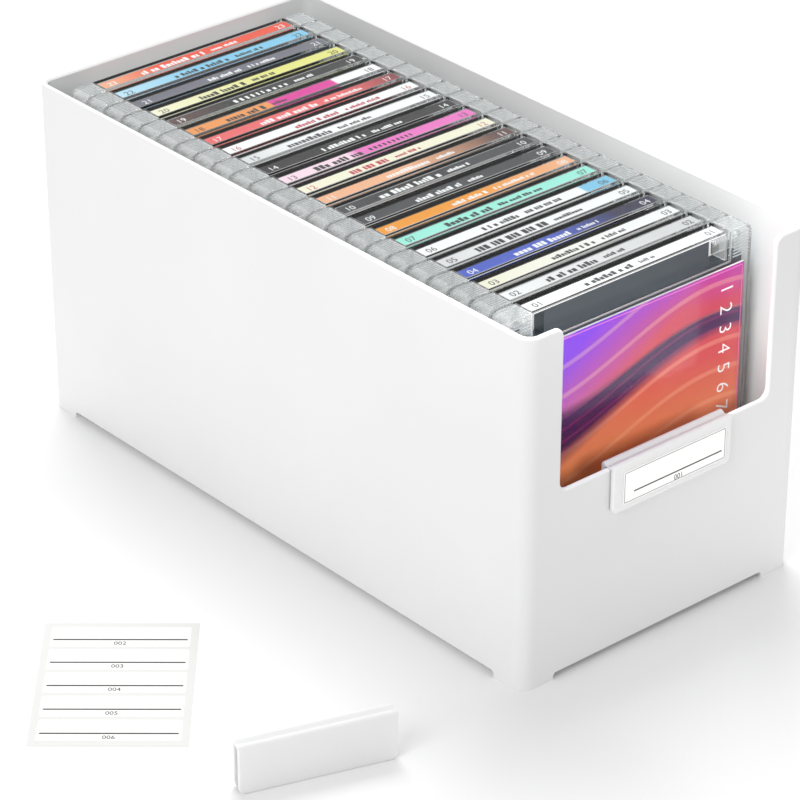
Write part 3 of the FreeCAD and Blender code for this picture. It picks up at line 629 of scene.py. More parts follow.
def lid_shapes():
    """Panel, two bent side strips, pins and the half-moon tabs that keep the booklet."""
    ear, inside = HALF - EAR, HALF - WALL
    panel = round_corners([
        (-HALF, 0), (HALF, 0), (HALF, RISE), (ear, RISE),
        (ear, HINGE_LINE), (-ear, HINGE_LINE), (-ear, RISE), (-HALF, RISE),
    ], [PANEL_ROUND] * 2 + [EAR_ROUND] + [PANEL_ROUND] * 4 + [EAR_ROUND], EAR_STEPS)
    strip = round_corners([
        (inside, 0), (HALF, 0), (HALF, RISE), (ear, RISE), (ear, RISE - WALL), (inside, RISE - WALL),
    ], [STRIP_ROUND] * 2 + [EAR_ROUND] + [STRIP_ROUND] * 2 + [EAR_ROUND - WALL], EAR_STEPS)
    shapes = [plate(panel, 0, WALL, LID_EDGE)]
    shapes += [plate(side, BURIED, DEPTH, LID_EDGE, steps=3) for side in (strip, mirrored(strip))]
    pin_spans = both_sides(CHEEK_HALF - PIN_GRIP, HALF - BURIED)
    shapes += [rod((PIN_Y, PIN_Z), PIN_RADIUS, *span, "yz") for span in pin_spans]
    angle = np.linspace(-math.pi / 2, math.pi / 2, KEEPER_POINTS)
    moon = np.stack([-np.cos(angle) * KEEPER_REACH, -np.sin(angle) * KEEPER_WIDTH / 2], 1)
    moon = np.concatenate([moon, [(BURIED, -KEEPER_WIDTH / 2), (BURIED, KEEPER_WIDTH / 2)]])
    keeper_front = booklet_high[1] + FIT / 2
    middle = (booklet_low[2] + booklet_high[2]) / 2
    for height in (middle - KEEPER_SPREAD / 2, middle + KEEPER_SPREAD / 2):
        right = moon + (inside, height)
        keeper = (keeper_front, keeper_front + KEEPER_THICKNESS, KEEPER_EDGE)
        shapes += [plate(side, *keeper) for side in (right, mirrored(right))]
    return shapes


def grip_ribs():
    """Low round-backed bars across both ears: y runs over the top face, z down the front face."""
    angle = np.linspace(0, math.pi, RIB_POINTS)
    bow = np.stack([np.cos(angle) * RIB_WIDTH / 2, np.sin(angle) * RIB_HEIGHT], 1)
    foot = [(-RIB_WIDTH / 2, -RIB_HEIGHT / 2), (RIB_WIDTH / 2, -RIB_HEIGHT / 2)]
    on_top = np.concatenate([bow, foot])
    in_front = on_top[:, ::-1] * (-1, 1)
    top_spans = both_sides(HALF - EAR + SMOOTH_BORDER, HALF - EAR_ROUND)
    front_spans = both_sides(HALF - EAR + SMOOTH_BORDER, HALF - SMOOTH_BORDER)
    ribs = []
    for y in np.arange(SMOOTH_BORDER, DEPTH - SMOOTH_BORDER / 2, RIB_PITCH):
        ribs += [plate(on_top + (y, RISE), *span, RIB_EDGE, "yz", 1) for span in top_spans]
    for z in np.arange(HINGE_LINE + SMOOTH_BORDER, RISE - EAR_ROUND + SMOOTH_BORDER, RIB_PITCH):
        ribs += [plate(in_front + (0, z), *span, RIB_EDGE, "yz", 1) for span in front_spans]
    return ribs


def joined(name, meshes):
    """One mesh of several, with their slots kept."""
    work = bmesh.new()
    for mesh in meshes:
        work.from_mesh(mesh)
    whole = bpy.data.meshes.new(name)
    work.to_mesh(whole)
    work.free()
    return whole


def mark_edges(mesh, axes):
    """Slot 0, the clear one, for faces square to an axis in a list (0 = x, 1 = y, 2 = z), 1 for the rest."""
    squareness = abs(read(mesh.polygons, "normal", 3))[:, axes].max(1)
    mesh.polygons.foreach_set("material_index", (squareness < SQUARE_ENOUGH).astype(np.int32))
    return mesh


# Faces that are not square to the listed axes take slot 1, the finish with the painted glow.
lid_skin = mark_edges(moulded("lid", lid_shapes()), [1])
rib_shapes = grip_ribs()
lid_mesh = joined("lid", [lid_skin, mesh_of("ribs", rib_shapes, [2] * len(rib_shapes))])
print("lid:", len(lid_mesh.polygons), "faces, of which", len(rib_shapes), "ribs")

# %% [markdown]
# ## The base
# The base is the other clear half: a back panel, a wall along the opening edge, and the spine wall on top
# with a cheek at each end. The cheeks have the holes in which the lid's pins turn.

# %% Model the base
SPINE_FRONT, BACK_ROUND = 1.5, 0.3


def base_shapes():
    """Back panel with its spine step, spine wall, opening wall and two cheeks."""
    half, under = base_high[0], RISE - WALL - FIT
    back = round_corners([
        (-half, 0), (half, 0), (half, under), (SPINE_HALF, under),
        (SPINE_HALF, RISE), (-SPINE_HALF, RISE), (-SPINE_HALF, under), (-half, under),
    ], BACK_ROUND)
    front, inside = SPINE_FRONT, DEPTH - BURIED
    shapes = [
        plate(back, DEPTH - WALL, DEPTH),
        plate(rectangle(-SPINE_HALF, front, SPINE_HALF, inside), under, RISE, plane="xy"),
        plate(rectangle(-half, front, half, inside), 0, WALL, plane="xy"),
    ]
    cheek = rectangle(front, HINGE_LINE, inside, RISE - BURIED)
    return shapes + [plate(cheek, *span, plane="yz") for span in both_sides(CHEEK_HALF, SPINE_HALF)]


hinge_holes = rod((PIN_Y, PIN_Z), PIN_RADIUS + PIN_PLAY, -HALF, HALF, "yz", 24)
base_mesh = mark_edges(moulded("base", base_shapes(), [hinge_holes]), [1, 2])
print("base:", len(base_mesh.polygons), "faces")

# %% [markdown]
# ## Tray, card and booklet
# The tray is a dark slab with a narrow strip beside the hinge, and that strip is what shows between the
# ears. Round its back goes the printed card, folded forward at both ends to make the two spines. The
# booklet is folded leaves one inside the other, so from the side it shows a stack of hairpins.

# %% Model the paper and the tray
CARD, CARD_CORNER, CARD_EDGE, FOLD_STEPS = 0.3, 0.06, 0.04, 4
INNER_BEND, OUTER_BEND, LEAF_BEND = CARD / 2, CARD * 1.5, 0.9
LEAVES, LEAF, LEAF_GAP, LEAF_CORNER, LEAF_EDGE = 4, 0.11, 0.03, 0.03, 0.02
FORE_EDGE, FORE_EDGE_STEP = 0.3, 0.08
STRIP_HALF, STRIP_TUCK, STRIP_CORNER = CHEEK_HALF - 7.0, 5, 0.4
SLAB_THICKNESS, SLAB_CORNER, TRAY_EDGE, FLUSH = 4.6, 1.2, 0.3, 0.01


def tray_shapes():
    """Slab and hinge strip."""
    slab = rectangle(tray_low[0], tray_low[2], tray_high[0], HINGE_LINE - FIT, SLAB_CORNER, 4)
    strip = rectangle(-STRIP_HALF, HINGE_LINE - STRIP_TUCK, STRIP_HALF, tray_high[2], STRIP_CORNER)
    return [
        plate(slab, tray_high[1] - SLAB_THICKNESS, tray_high[1], TRAY_EDGE),
        plate(strip, tray_low[1], tray_high[1] - FLUSH, TRAY_EDGE),
    ]


def folded_card(front, back, low, high):
    """The card's cross-section where it folds at one end: an L of card with a rounded fold."""
    inner, under = back - CARD, high - CARD
    return round_corners([
        (back, low), (back, high), (front, high), (front, under), (inner, under), (inner, low),
    ], [CARD_CORNER, OUTER_BEND, CARD_CORNER, CARD_CORNER, INNER_BEND, CARD_CORNER], FOLD_STEPS)


def card_shapes():
    """Wide back with the opening spine at its foot, and the narrow neck with the top spine."""
    wide, narrow = card_high[0], CHEEK_HALF - FIT
    front, back = card_low[1], card_high[1]
    neck = folded_card(SPINE_FRONT + FIT, back, HINGE_LINE - FIT, card_high[2])
    foot = folded_card(front, back, FIT - HINGE_LINE, -card_low[2])
    foot = (foot * (1, -1))[::-1]
    return [plate(*folded, CARD_EDGE, "yz", 1) for folded in ((foot, -wide, wide), (neck, -narrow, narrow))]


def leaf(number):
    """One folded leaf of the booklet: a hairpin of paper round the fold on the left."""
    middle = (booklet_low[1] + booklet_high[1]) / 2
    half = (booklet_high[1] - booklet_low[1]) / 2 - number * (LEAF + LEAF_GAP)
    left = booklet_low[0] + number * (LEAF + LEAF_GAP)
    right = booklet_high[0] - FORE_EDGE + number * FORE_EDGE_STEP
    low, high = middle - half, middle + half
    inner_fold, outer_fold = (half - LEAF) * LEAF_BEND, half * LEAF_BEND
    hairpin = round_corners([
        (right, low), (right, low + LEAF), (left + LEAF, low + LEAF), (left + LEAF, high - LEAF),
        (right, high - LEAF), (right, high), (left, high), (left, low),
    ], [LEAF_CORNER] * 2 + [inner_fold] * 2 + [LEAF_CORNER] * 2 + [outer_fold] * 2, FOLD_STEPS)
    return plate(hairpin, booklet_low[2], booklet_high[2], LEAF_EDGE, "xy", 1)


def booklet_shapes():
    """The leaves of a booklet, the cover first."""
    return [leaf(number) for number in range(LEAVES)]


tray_mesh = moulded("tray", tray_shapes())
booklet_mesh = mesh_of("booklet", booklet_shapes(), [0] + [1] * (LEAVES - 1))
print("tray, booklet:", [len(mesh.polygons) for mesh in (tray_mesh, booklet_mesh)])

# %% [markdown]
# ## Figures and print
# Print is a film of ink on paper. Drawn as geometry a few hundredths of a millimetre thick it stays crisp at
# any distance, which a colour baked into a picture doesn't. Every mark here is a plain figure, a bar or a
# rule: a row of bars stands where a title would be. Figures come from a text curve that is made a mesh,
# and one function carries any flat shape onto the surface that it is printed on.

# %% Figures, dashes and their places
INK_FILM, FILM_EDGE, DASH_ROUND, CAP_HEIGHT = 0.03, 0.005, 0.2, 0.7


def figures(text, height, thinner=0.0):
    """Plain figures as a thin solid about the origin, reading along x, height being that of a figure."""
    curve = bpy.data.curves.new("figures", "FONT")
    curve.body, curve.size, curve.resolution_u = text, height / CAP_HEIGHT, 3
    curve.extrude, curve.offset = INK_FILM / 2, -thinner
    curve.align_x, curve.align_y = "CENTER", "CENTER"
    holder = add_object("figures", curve)
    mesh = bpy.data.meshes.new_from_object(holder.evaluated_get(bpy.context.evaluated_depsgraph_get()))
    points = read(mesh.vertices, "co", 3)
    middle = (points.max(0) + points.min(0)) / 2
    faces = [list(face.vertices) for face in mesh.polygons]
    bpy.data.objects.remove(holder)
    return points - (middle[0], middle[1], -INK_FILM / 2), faces


def dash(left, low, right, high):
    """A printed rule with slightly round ends, as a thin solid."""
    round_end = min(right - left, high - low) * DASH_ROUND
    return plate(rectangle(left, low, right, high, round_end, 1), 0, INK_FILM, FILM_EDGE, "xy", 1)


def printed_on(shape, place, right, up):
    """A flat shape carried onto a surface: place + x * right + y * up + z * (right x up)."""
    points, faces = shape
    axes = np.array([right, up, np.cross(right, up)], float)
    return points @ axes + np.array(place, float), faces


print("the figure 8 has", len(figures("8", 3)[0]), "points")

# %% [markdown]
# ## Printing inks
# Each spine has its own colours, so the row reads as a collection. The inks are named once, and a spine
# is a short list of stops from left to right. The print lies on coated paper under the clear spine wall.
# Uncoated paper for the leaves and the labels is matt, and its fibres show as the finest of bumps. The disc
# behind the first cover is a film of aluminium on clear plastic, with pale rainbows fanned about its hub;
# they are a painted reflection, set into its colour by the angle about the hub.

# %% Inks and papers
INKS = {
    "white": "#FAFAFA", "cream": "#F6F2D8", "silver": "#DCDCDE", "graphite": "#34383C", "black": "#101012",
    "vermilion": "#EC4418", "peach": "#F4B48A", "sky": "#7CC8EA", "ice": "#BFE4F4", "violet_grey": "#6A6A78",
    "straw": "#E8E680", "umber": "#5A3832", "orange": "#F09648", "magenta": "#E0209A", "coral": "#EE6062",
    "oxblood": "#701420", "pink": "#EE70C4", "blush": "#FBDCEA", "amber": "#F29A0E", "mint": "#9CEEDC",
    "blue": "#3E58C4", "navy": "#141440", "crimson": "#C42C48", "shadow_grey": "#9A9A9C",
}
FIBRE, HAZE = 0.35 * MM, 15 * MM


def row_of_inks(add, place, stops):
    """The inks of some stops, from left to right over the width of a spine."""
    span = add("Mapping", {
        "Vector": place,
        "Location": ((FIRST[0] - SPINE_HALF) * MM, 0, 0),
        "Scale": (2 * SPINE_HALF * MM, 1, 1),
    }, vector_type="TEXTURE")
    along = add("SeparateXYZ", [span]).outputs["X"]
    return add("ValToRGB", [along], [(position, INKS[ink]) for position, ink in stops])


def coated_card(name, stops):
    """Coated card: inks on its spine, a pale back, and a smooth half gloss broken a little by the fibres."""
    finish, add, place, fibre = grained_finish(name, FIBRE, detail=2.0)
    height = add("SeparateXYZ", [place]).outputs["Z"]
    spine_foot = (FIRST[2] + card_high[2] - 2 * CARD) * MM
    on_spine = add("Math", [height, spine_foot], operation="GREATER_THAN")
    inks = row_of_inks(add, place, stops)
    shade = add("Mix", {"Factor": on_spine, "A": linear("#E4E4E2"), "B": inks}, data_type="RGBA")
    gloss = add("MapRange", {"Value": fibre, "To Min": 0.3, "To Max": 0.42})
    return coat(finish, {"Base Color": shade, "Roughness": gloss, "IOR": 1.5})


def offset_ink(name, ink):
    """Ink on paper: one colour, a little uneven where the fibres drink it."""
    finish, add, _, fibre = grained_finish(name, FIBRE, detail=3.0)
    thin = add("MapRange", {"Value": fibre, "To Min": 0.0, "To Max": 0.12})
    shade = add("Mix", {"Factor": thin, "A": linear(INKS[ink]), "B": linear("#B0B0B0")}, data_type="RGBA")
    return coat(finish, {"Base Color": shade, "Roughness": 0.45, "IOR": 1.5})


def tray_plastic(name, colour):
    """Tinted polystyrene from a polished mould, with a faint haze."""
    finish, add, _, haze = grained_finish(name, HAZE, detail=3.0)
    gloss = add("MapRange", {"Value": haze, "To Min": 0.36, "To Max": 0.46})
    return coat(finish, {"Base Color": linear(colour), "Roughness": gloss, "IOR": 1.59})


def uncoated_paper(name, colour, shaded):
    """Uncoated paper: matt, with its fibres as a fine bump and a slight unevenness of tone."""
    finish, add, _, fibre = grained_finish(name, FIBRE, detail=3.0)
    shade = add("ValToRGB", [fibre], [(0.3, shaded), (0.7, colour)])
    bump = add("Bump", {"Height": fibre, "Strength": 0.1, "Distance": RELIEF})
    return coat(finish, {"Base Color": shade, "Roughness": 0.7, "Normal": bump})


def pressed_disc(name, node_name):
    """Aluminised polycarbonate: a bare hub, then a mirror whose pale hues turn with the angle about it."""
    finish, add = new_finish(name)
    low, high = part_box(node_name)
    middle, radius = (Vector(low) + Vector(high)) / 2, (high[0] - low[0]) / 2
    place = add("TexCoord").outputs["Object"]
    about = add("Mapping", {
        "Vector": place, "Location": tuple(middle), "Scale": (radius, 1, radius),
    }, vector_type="TEXTURE")
    far = add("VectorMath", [about], operation="LENGTH")
    split = add("SeparateXYZ", [about]).outputs
    flat = add("CombineXYZ", [split["X"], split["Z"]])
    turn = add("TexGradient", [flat], gradient_type="RADIAL").outputs["Fac"]
    # The rainbow is painted reflection: pale hues set by the angle about the hub, the same from every side.
    hues = add("ValToRGB", [turn], [
        (0.0, "#D8D8DE"), (0.12, "#C8DCF0"), (0.2, "#D2EEDA"), (0.28, "#F2E6C4"), (0.36, "#E8CCDC"),
        (0.5, "#D8D8DE"), (0.7, "#D0E0EE"), (0.85, "#EADCE8"), (1.0, "#D8D8DE"),
    ])
    track = add("ValToRGB", [far], [(0.37, BLACK), (0.39, WHITE), (0.96, WHITE), (0.98, BLACK)])
    shade = add("Mix", {"Factor": track, "A": linear("#B4B8BA"), "B": hues}, data_type="RGBA")
    gloss = add("MapRange", {"Value": track, "To Min": 0.3, "To Max": 0.14})
    return coat(finish, {"Base Color": shade, "Metallic": 1.0, "Roughness": gloss})


TRAYS = {"black": "#101112", "slate": "#3A4248", "ash": "#A0A2A4", "white": "#F0F0F0", "oxblood": "#7A1018"}
tray_finish = {colour: tray_plastic(f"{colour}_polystyrene", shade) for colour, shade in TRAYS.items()}
page_paper = uncoated_paper("uncoated_booklet_paper", "#F6F6F2", "#EEEEE8")
label_paper = uncoated_paper("warm_white_label_paper", "#FEFEFB", "#FAFAF6")
ink_finish = {ink: offset_ink(f"offset_ink_{ink}", ink) for ink in ("white", "black", "crimson", "graphite")}
print("inks:", len(INKS))

# %% [markdown]
# ## Covers
# The first booklet faces the room, so it carries a real design: broad bands of colour that run from violet
# at the top left to orange at the foot, crossed by a dark wave with finer waves inside it. Every line of it
# comes from one number, the height above a sine curve, so the waves follow each other like contour lines.
# The covers behind it only show when a case is lifted. Each is printed in the colours of its own spine, with
# rings in the ink of its title, and their middle and spacing change from case to case.

# %% Print the covers
BOOKLET_WIDTH = booklet_high[0] - booklet_low[0]
BOOKLET_HEIGHT = booklet_high[2] - booklet_low[2]
WAVE_STEPS = [
    ("rise", "MULTIPLY", "v", 0.85), ("lean", "MULTIPLY", "u", 0.12), ("slope", "ADD", "rise", "lean"),
    ("aside", "MULTIPLY", "u", 0.6), ("corner", "SUBTRACT", "v", "aside"),
    ("run", "MULTIPLY", "u", 4.0), ("phase", "ADD", "run", -1.9), ("sine", "SINE", "phase", 0.0),
    ("swing", "MULTIPLY", "sine", 0.09), ("crest", "ADD", "swing", 0.735),
    ("height", "SUBTRACT", "v", "crest"), ("growth", "MULTIPLY", "u", 1.1), ("taper", "ADD", "growth", 0.3),
    ("tapered", "MULTIPLY", "height", "taper"), ("band", "ADD", "tapered", 0.2),
    ("fine", "MULTIPLY", "height", 150.0), ("fine_wave", "SINE", "fine", 0.0),
    ("broad", "MULTIPLY", "height", 60.0), ("broad_wave", "SINE", "broad", 0.0),
]


def wave_cover(name, offset):
    """A gloss cover: sunset bands, and a dark wave whose inner lines run at fixed heights over a sine.

    u runs from left to right and v from foot to head, both from 0 to 1. Each row of WAVE_STEPS names one
    more number and says how it is worked out from those before it.
    """
    finish, add = new_finish(name)
    unit = add("Mapping", {
        "Vector": add("TexCoord").outputs["Object"], "Location": tuple((offset + booklet_low) * MM),
        "Scale": (BOOKLET_WIDTH * MM, 1, BOOKLET_HEIGHT * MM),
    }, vector_type="TEXTURE")
    split = add("SeparateXYZ", [unit]).outputs
    value = {"u": split["X"], "v": split["Z"]}
    for result, operation, *terms in WAVE_STEPS:
        value[result] = add("Math", [value.get(term, term) for term in terms], operation=operation)
    bands = add("ValToRGB", [value["slope"]], [
        (0.42, "#F0935C"), (0.56, "#E8805C"), (0.7, "#D04C50"), (0.86, "#C43A54"), (0.96, "#B42C98"),
    ])
    violet = add("ValToRGB", [value["corner"]], [(0.48, BLACK), (0.78, WHITE)])
    mask = add("ValToRGB", [value["band"]], [(0.13, BLACK), (0.17, WHITE), (0.23, WHITE), (0.25, BLACK)])
    lines = add("ValToRGB", [value["fine_wave"]], [(0.5, BLACK), (0.9, WHITE)])
    echo = add("ValToRGB", [value["broad_wave"]], [(0.8, BLACK), (0.95, WHITE)])
    lines, echo, mask = (
        add("Math", [layer, share], operation="MULTIPLY")
        for layer, share in ((lines, 0.3), (echo, 0.22), (mask, 0.95))
    )
    bands = add("Mix", {"Factor": violet, "A": bands, "B": linear("#7A1ED8")}, data_type="RGBA")
    dark = add("Mix", {"Factor": lines, "A": linear("#240C4C"), "B": linear("#9A2A70")}, data_type="RGBA")
    bands = add("Mix", {"Factor": echo, "A": bands, "B": linear("#FFC4A0")}, data_type="RGBA")
    printed = add("Mix", {"Factor": mask, "A": bands, "B": dark}, data_type="RGBA")
    return coat(finish, {"Base Color": printed, "Roughness": 0.25, "IOR": 1.5})


def ring_cover(number, offset, ink, stops):
    """A gloss cover in a spine's colours, with rings of its title's ink, placed and spaced by its number."""
    finish, add = new_finish(f"gloss_cover_{number:02d}")
    across, up, spacing = 0.3 + 0.1 * (number % 5), 0.3 + 0.15 * (number % 4), 7.0 + 2.0 * (number % 3)
    centre = (offset + booklet_low + (BOOKLET_WIDTH * across, 0, BOOKLET_HEIGHT * up)) * MM
    place = add("TexCoord").outputs["Object"]
    about = add("Mapping", {
        "Vector": place, "Location": tuple(centre), "Scale": (spacing * MM, 1, spacing * MM),
    }, vector_type="TEXTURE")
    far = add("VectorMath", [about], operation="LENGTH")
    wave = add("Math", [far, 1.0], operation="PINGPONG")
    rings = add("ValToRGB", [wave], [(0.35, BLACK), (0.4, "#A8A8A8"), (0.75, BLACK)])
    ground = row_of_inks(add, place, stops)
    shade = add("Mix", {"Factor": rings, "A": ground, "B": linear(INKS[ink])}, data_type="RGBA")
    return coat(finish, {"Base Color": shade, "Roughness": 0.22, "IOR": 1.5})


print("covers: one of waves, the rest of rings")

# %% [markdown]
# ## Marks on a spine
# A spine carries the case's number at both ends and, between them, a title. The title is greeked, as
# designers call it: each letter is only a small bar, so that a line of type is seen but nothing can be
# read. The widths, gaps and heights of the bars come from the golden ratio, which never repeats.

# %% Marks on a spine
FIGURE_HEIGHT, FIGURE_INSET, WORD_GAP, LETTER_GAP = 3.2, 5, 1.9, 0.45
NARROWEST, WIDTH_SPREAD, LOW_LETTER, WORD_BREAK, TALL_LETTER = 0.28, 0.34, 0.72, 0.8, 0.6
TITLE_LETTERS, TITLE_HEIGHT, HEIGHT_DRIFT, TITLE_START, START_DRIFT = 9, 3.6, 1.2, -34, 22
SECOND_SEED, SECOND_LETTERS, SECOND_HEIGHT, SECOND_GAP, MARK_MARGIN = 40, 6, 2.1, 4, 10
GOLDEN = (math.sqrt(5) - 1) / 2
SPINE_MIDDLE = (SPINE_FRONT + FIT + card_high[1]) / 2


def bar(left, low, right, high):
    """The plainest printed mark, a film of ink with square ends."""
    outline = np.array([(left, low), (right, low), (right, high), (left, high)], float)
    return plate(outline, 0, INK_FILM, 0, "xy", 1)


def greeked_line(seed, letters, height, start):
    """A line of bars: widths, heights and word breaks follow the golden ratio's multiples, modulo 1."""
    chance = np.arange(1, letters + 1) * (seed + 2) * GOLDEN % 1
    widths = height * (NARROWEST + WIDTH_SPREAD * (chance * 7 % 1))
    gaps = np.where(chance > WORD_BREAK, WORD_GAP, LETTER_GAP) * height / FIGURE_HEIGHT
    tall = height * np.where(chance * 3 % 1 > TALL_LETTER, 1.0, LOW_LETTER)
    left = start + np.concatenate([[0], np.cumsum(widths + gaps)[:-1]])
    return [bar(x, -height / 2, x + width, top - height / 2) for x, width, top in zip(left, widths, tall)]


def spine_marks(number):
    """The number at both ends of a spine and a greeked title in between, in the case's own place."""
    def on_spine(shape, across=0.0):
        return printed_on(shape, (across, SPINE_MIDDLE, card_high[2]), (1, 0, 0), (0, 1, 0))

    figure, edge = figures(f"{number:02d}", FIGURE_HEIGHT), CHEEK_HALF - FIGURE_INSET
    drift = number * GOLDEN % 1
    height, start = TITLE_HEIGHT - HEIGHT_DRIFT * drift, TITLE_START + START_DRIFT * drift
    title = greeked_line(number, TITLE_LETTERS + number % 6, height, start)
    start = title[-1][0][:, 0].max() + SECOND_GAP
    second = greeked_line(number + SECOND_SEED, SECOND_LETTERS + number % 9, SECOND_HEIGHT, start)
    bars = [shape for shape in title + second if shape[0][:, 0].max() < CHEEK_HALF - MARK_MARGIN]
    return [on_spine(figure, -edge), on_spine(figure, edge)] + [on_spine(shape) for shape in bars]


print("marks on spine 7:", len(spine_marks(7)))

# %% [markdown]
# ## The row of cases
# Each case is the same five pieces moved to its own place, so the meshes are copied and shifted. Only the
# print differs, on the card and on the booklet's cover, and the first booklet has figures as well. The lid
# rides on the case's body with the rest, because in the drawer a case can only be lifted out whole.

# %% Fill the drawer
SPINES = [
    ("slate", "graphite", [(0.0, "white"), (1.0, "white")]),
    ("black", "black", [(0.0, "white"), (0.8, "silver")]),
    ("white", "graphite", [(0.0, "cream"), (0.7, "white")]),
    ("black", "white", [(0.0, "blue"), (0.45, "blue"), (0.8, "navy")]),
    ("black", "black", [(0.0, "silver"), (0.5, "white")]),
    ("ash", "graphite", [(0.0, "white"), (0.83, "white"), (0.84, "sky"), (1.0, "sky")]),
    ("black", "black", [(0.0, "mint"), (1.0, "mint")]),
    ("ash", "white", [(0.0, "amber"), (0.5, "amber"), (1.0, "peach")]),
    ("slate", "white", [(0.0, "graphite"), (1.0, "graphite")]),
    ("black", "white", [(0.0, "graphite"), (0.4, "black"), (0.7, "graphite")]),
    ("white", "white", [(0.0, "peach"), (0.45, "peach"), (0.9, "umber")]),
    ("black", "crimson", [(0.0, "cream"), (1.0, "cream")]),
    ("black", "black", [(0.0, "blush"), (0.35, "blush"), (0.4, "pink"), (0.8, "pink")]),
    ("slate", "white", [(0.0, "black"), (1.0, "black")]),
    ("black", "graphite", [(0.0, "silver"), (0.3, "white")]),
    ("white", "crimson", [(0.0, "white"), (1.0, "white")]),
    ("oxblood", "white", [(0.0, "coral"), (0.7, "coral"), (1.0, "oxblood")]),
    ("black", "black", [
        (0.0, "orange"), (0.42, "orange"), (0.43, "magenta"), (0.75, "magenta"), (0.76, "white"),
    ]),
    ("ash", "white", [(0.0, "umber"), (0.3, "black")]),
    ("white", "black", [(0.0, "cream"), (0.6, "straw")]),
    ("black", "white", [(0.0, "violet_grey"), (1.0, "violet_grey")]),
    ("black", "black", [(0.0, "ice"), (0.4, "sky")]),
    ("ash", "white", [(0.0, "peach"), (0.3, "vermilion")]),
]
COVER_FIGURES, COVER_FIGURE_HEIGHT, COVER_FIGURE_STEP, COVER_FIGURE_THINNED = "123456789012", 6.6, 8.6, 0.1
COVER_MARGIN, COVER_LINE_INSET, COVER_LINE = 9.0, 0.9, 0.35
FRONT_PARTS = {"clear_lid": "lid", "clear_base": "base", "card": "inlay_card", "leaves": "booklet"}
OTHER_PARTS = {"clear_lid": "shell", "tray": "insert"}


def cover_marks():
    """White figures down the right side of the first cover, and a fine pink line along its head and side."""
    front, figure_marks = booklet_low[1], []
    right, head = booklet_high[0] - COVER_LINE_INSET, booklet_high[2] - COVER_LINE_INSET
    for step, figure in enumerate(COVER_FIGURES):
        shape = figures(figure, COVER_FIGURE_HEIGHT, COVER_FIGURE_THINNED)
        height = booklet_high[2] - COVER_MARGIN - step * COVER_FIGURE_STEP
        place = (booklet_high[0] - COVER_MARGIN, front, height)
        figure_marks.append(printed_on(shape, place, (0, 0, -1), (1, 0, 0)))
    lines = [
        dash(-right, head - COVER_LINE, right, head),
        dash(right - COVER_LINE, booklet_low[2] + COVER_LINE_INSET, right, head),
    ]
    return figure_marks, [printed_on(line, (0, front, 0), (1, 0, 0), (0, 0, 1)) for line in lines]


def add_case(number, tray, ink, stops):
    """The five pieces of the case of that number, the first being 1."""
    first = number == 1
    body, replaced = ("front_case", FRONT_PARTS) if first else (f"case_{number:02d}", OTHER_PARTS)
    offset = case_corner(f"{body}_{replaced['clear_lid']}")

    def put(part, mesh, finishes):
        nodes = [f"{body}_{replaced[part]}"] if part in replaced else []
        piece(f"{body}_{part}", moved(mesh, offset), finishes, body, nodes)

    put("clear_lid", lid_mesh, [clear, painted_glow_edge, painted_sheen_rib])
    put("clear_base", base_mesh, [clear, painted_glow_edge])
    marks = spine_marks(number)
    card = mesh_of("card", card_shapes() + marks, [0, 0] + [1] * len(marks))
    put("card", card, [coated_card(f"coated_card_{number:02d}", stops), ink_finish[ink]])
    if first:
        numbers, lines = cover_marks()
        slots = [0] + [1] * (LEAVES - 1) + [2] * len(numbers) + [3] * len(lines)
        leaves = mesh_of("booklet", booklet_shapes() + numbers + lines, slots)
        cover = wave_cover("gloss_cover_of_waves", offset)
        pink_ink = offset_ink("offset_ink_pink", "pink")
        put("leaves", leaves, [cover, page_paper, ink_finish["white"], pink_ink])
        dress("front_case_tray", tray_finish[tray])
        dress("front_case_disc", pressed_disc("aluminised_polycarbonate", "front_case_disc"))
    else:
        put("tray", tray_mesh, [tray_finish[tray]])
        put("leaves", booklet_mesh, [ring_cover(number, offset, ink, stops), page_paper])


for number, (tray, ink, stops) in enumerate(SPINES, start=1):
    add_case(number, tray, ink, stops)
print("cases:", len(SPINES))

# %% [markdown]
# ## Index labels
# A label is a slip of warm white paper with one black rule to write on and a small figure under it. The
# one on the clip is ringed by a fine grey line, painted shadow along its edges, and the five spare ones
# lie on their backing sheet. Both kinds are drawn flat about their own middle and then carried to their
# place.

# %% Model the labels
LABEL_WIDTH, LABEL_HEIGHT, LABEL_PAPER, LABEL_EDGE = 54.0, 14.0, 0.12, 0.02
LABEL_ROUND, SHADOW_LINE_INSET, SHADOW_LINE = 0.9, 0.6, 0.4
LABEL_FIGURE, FIGURE_DROP = 2.3, 0.75
CLIP_RULE, SPARE_RULE = (0.1, 0.96, 0.7, 0.6), (0.02, 0.98, 0.64, 0.8)
SHEET_TURN, LABEL_COUNT, LABEL_STEP = -41, 5, 16.0


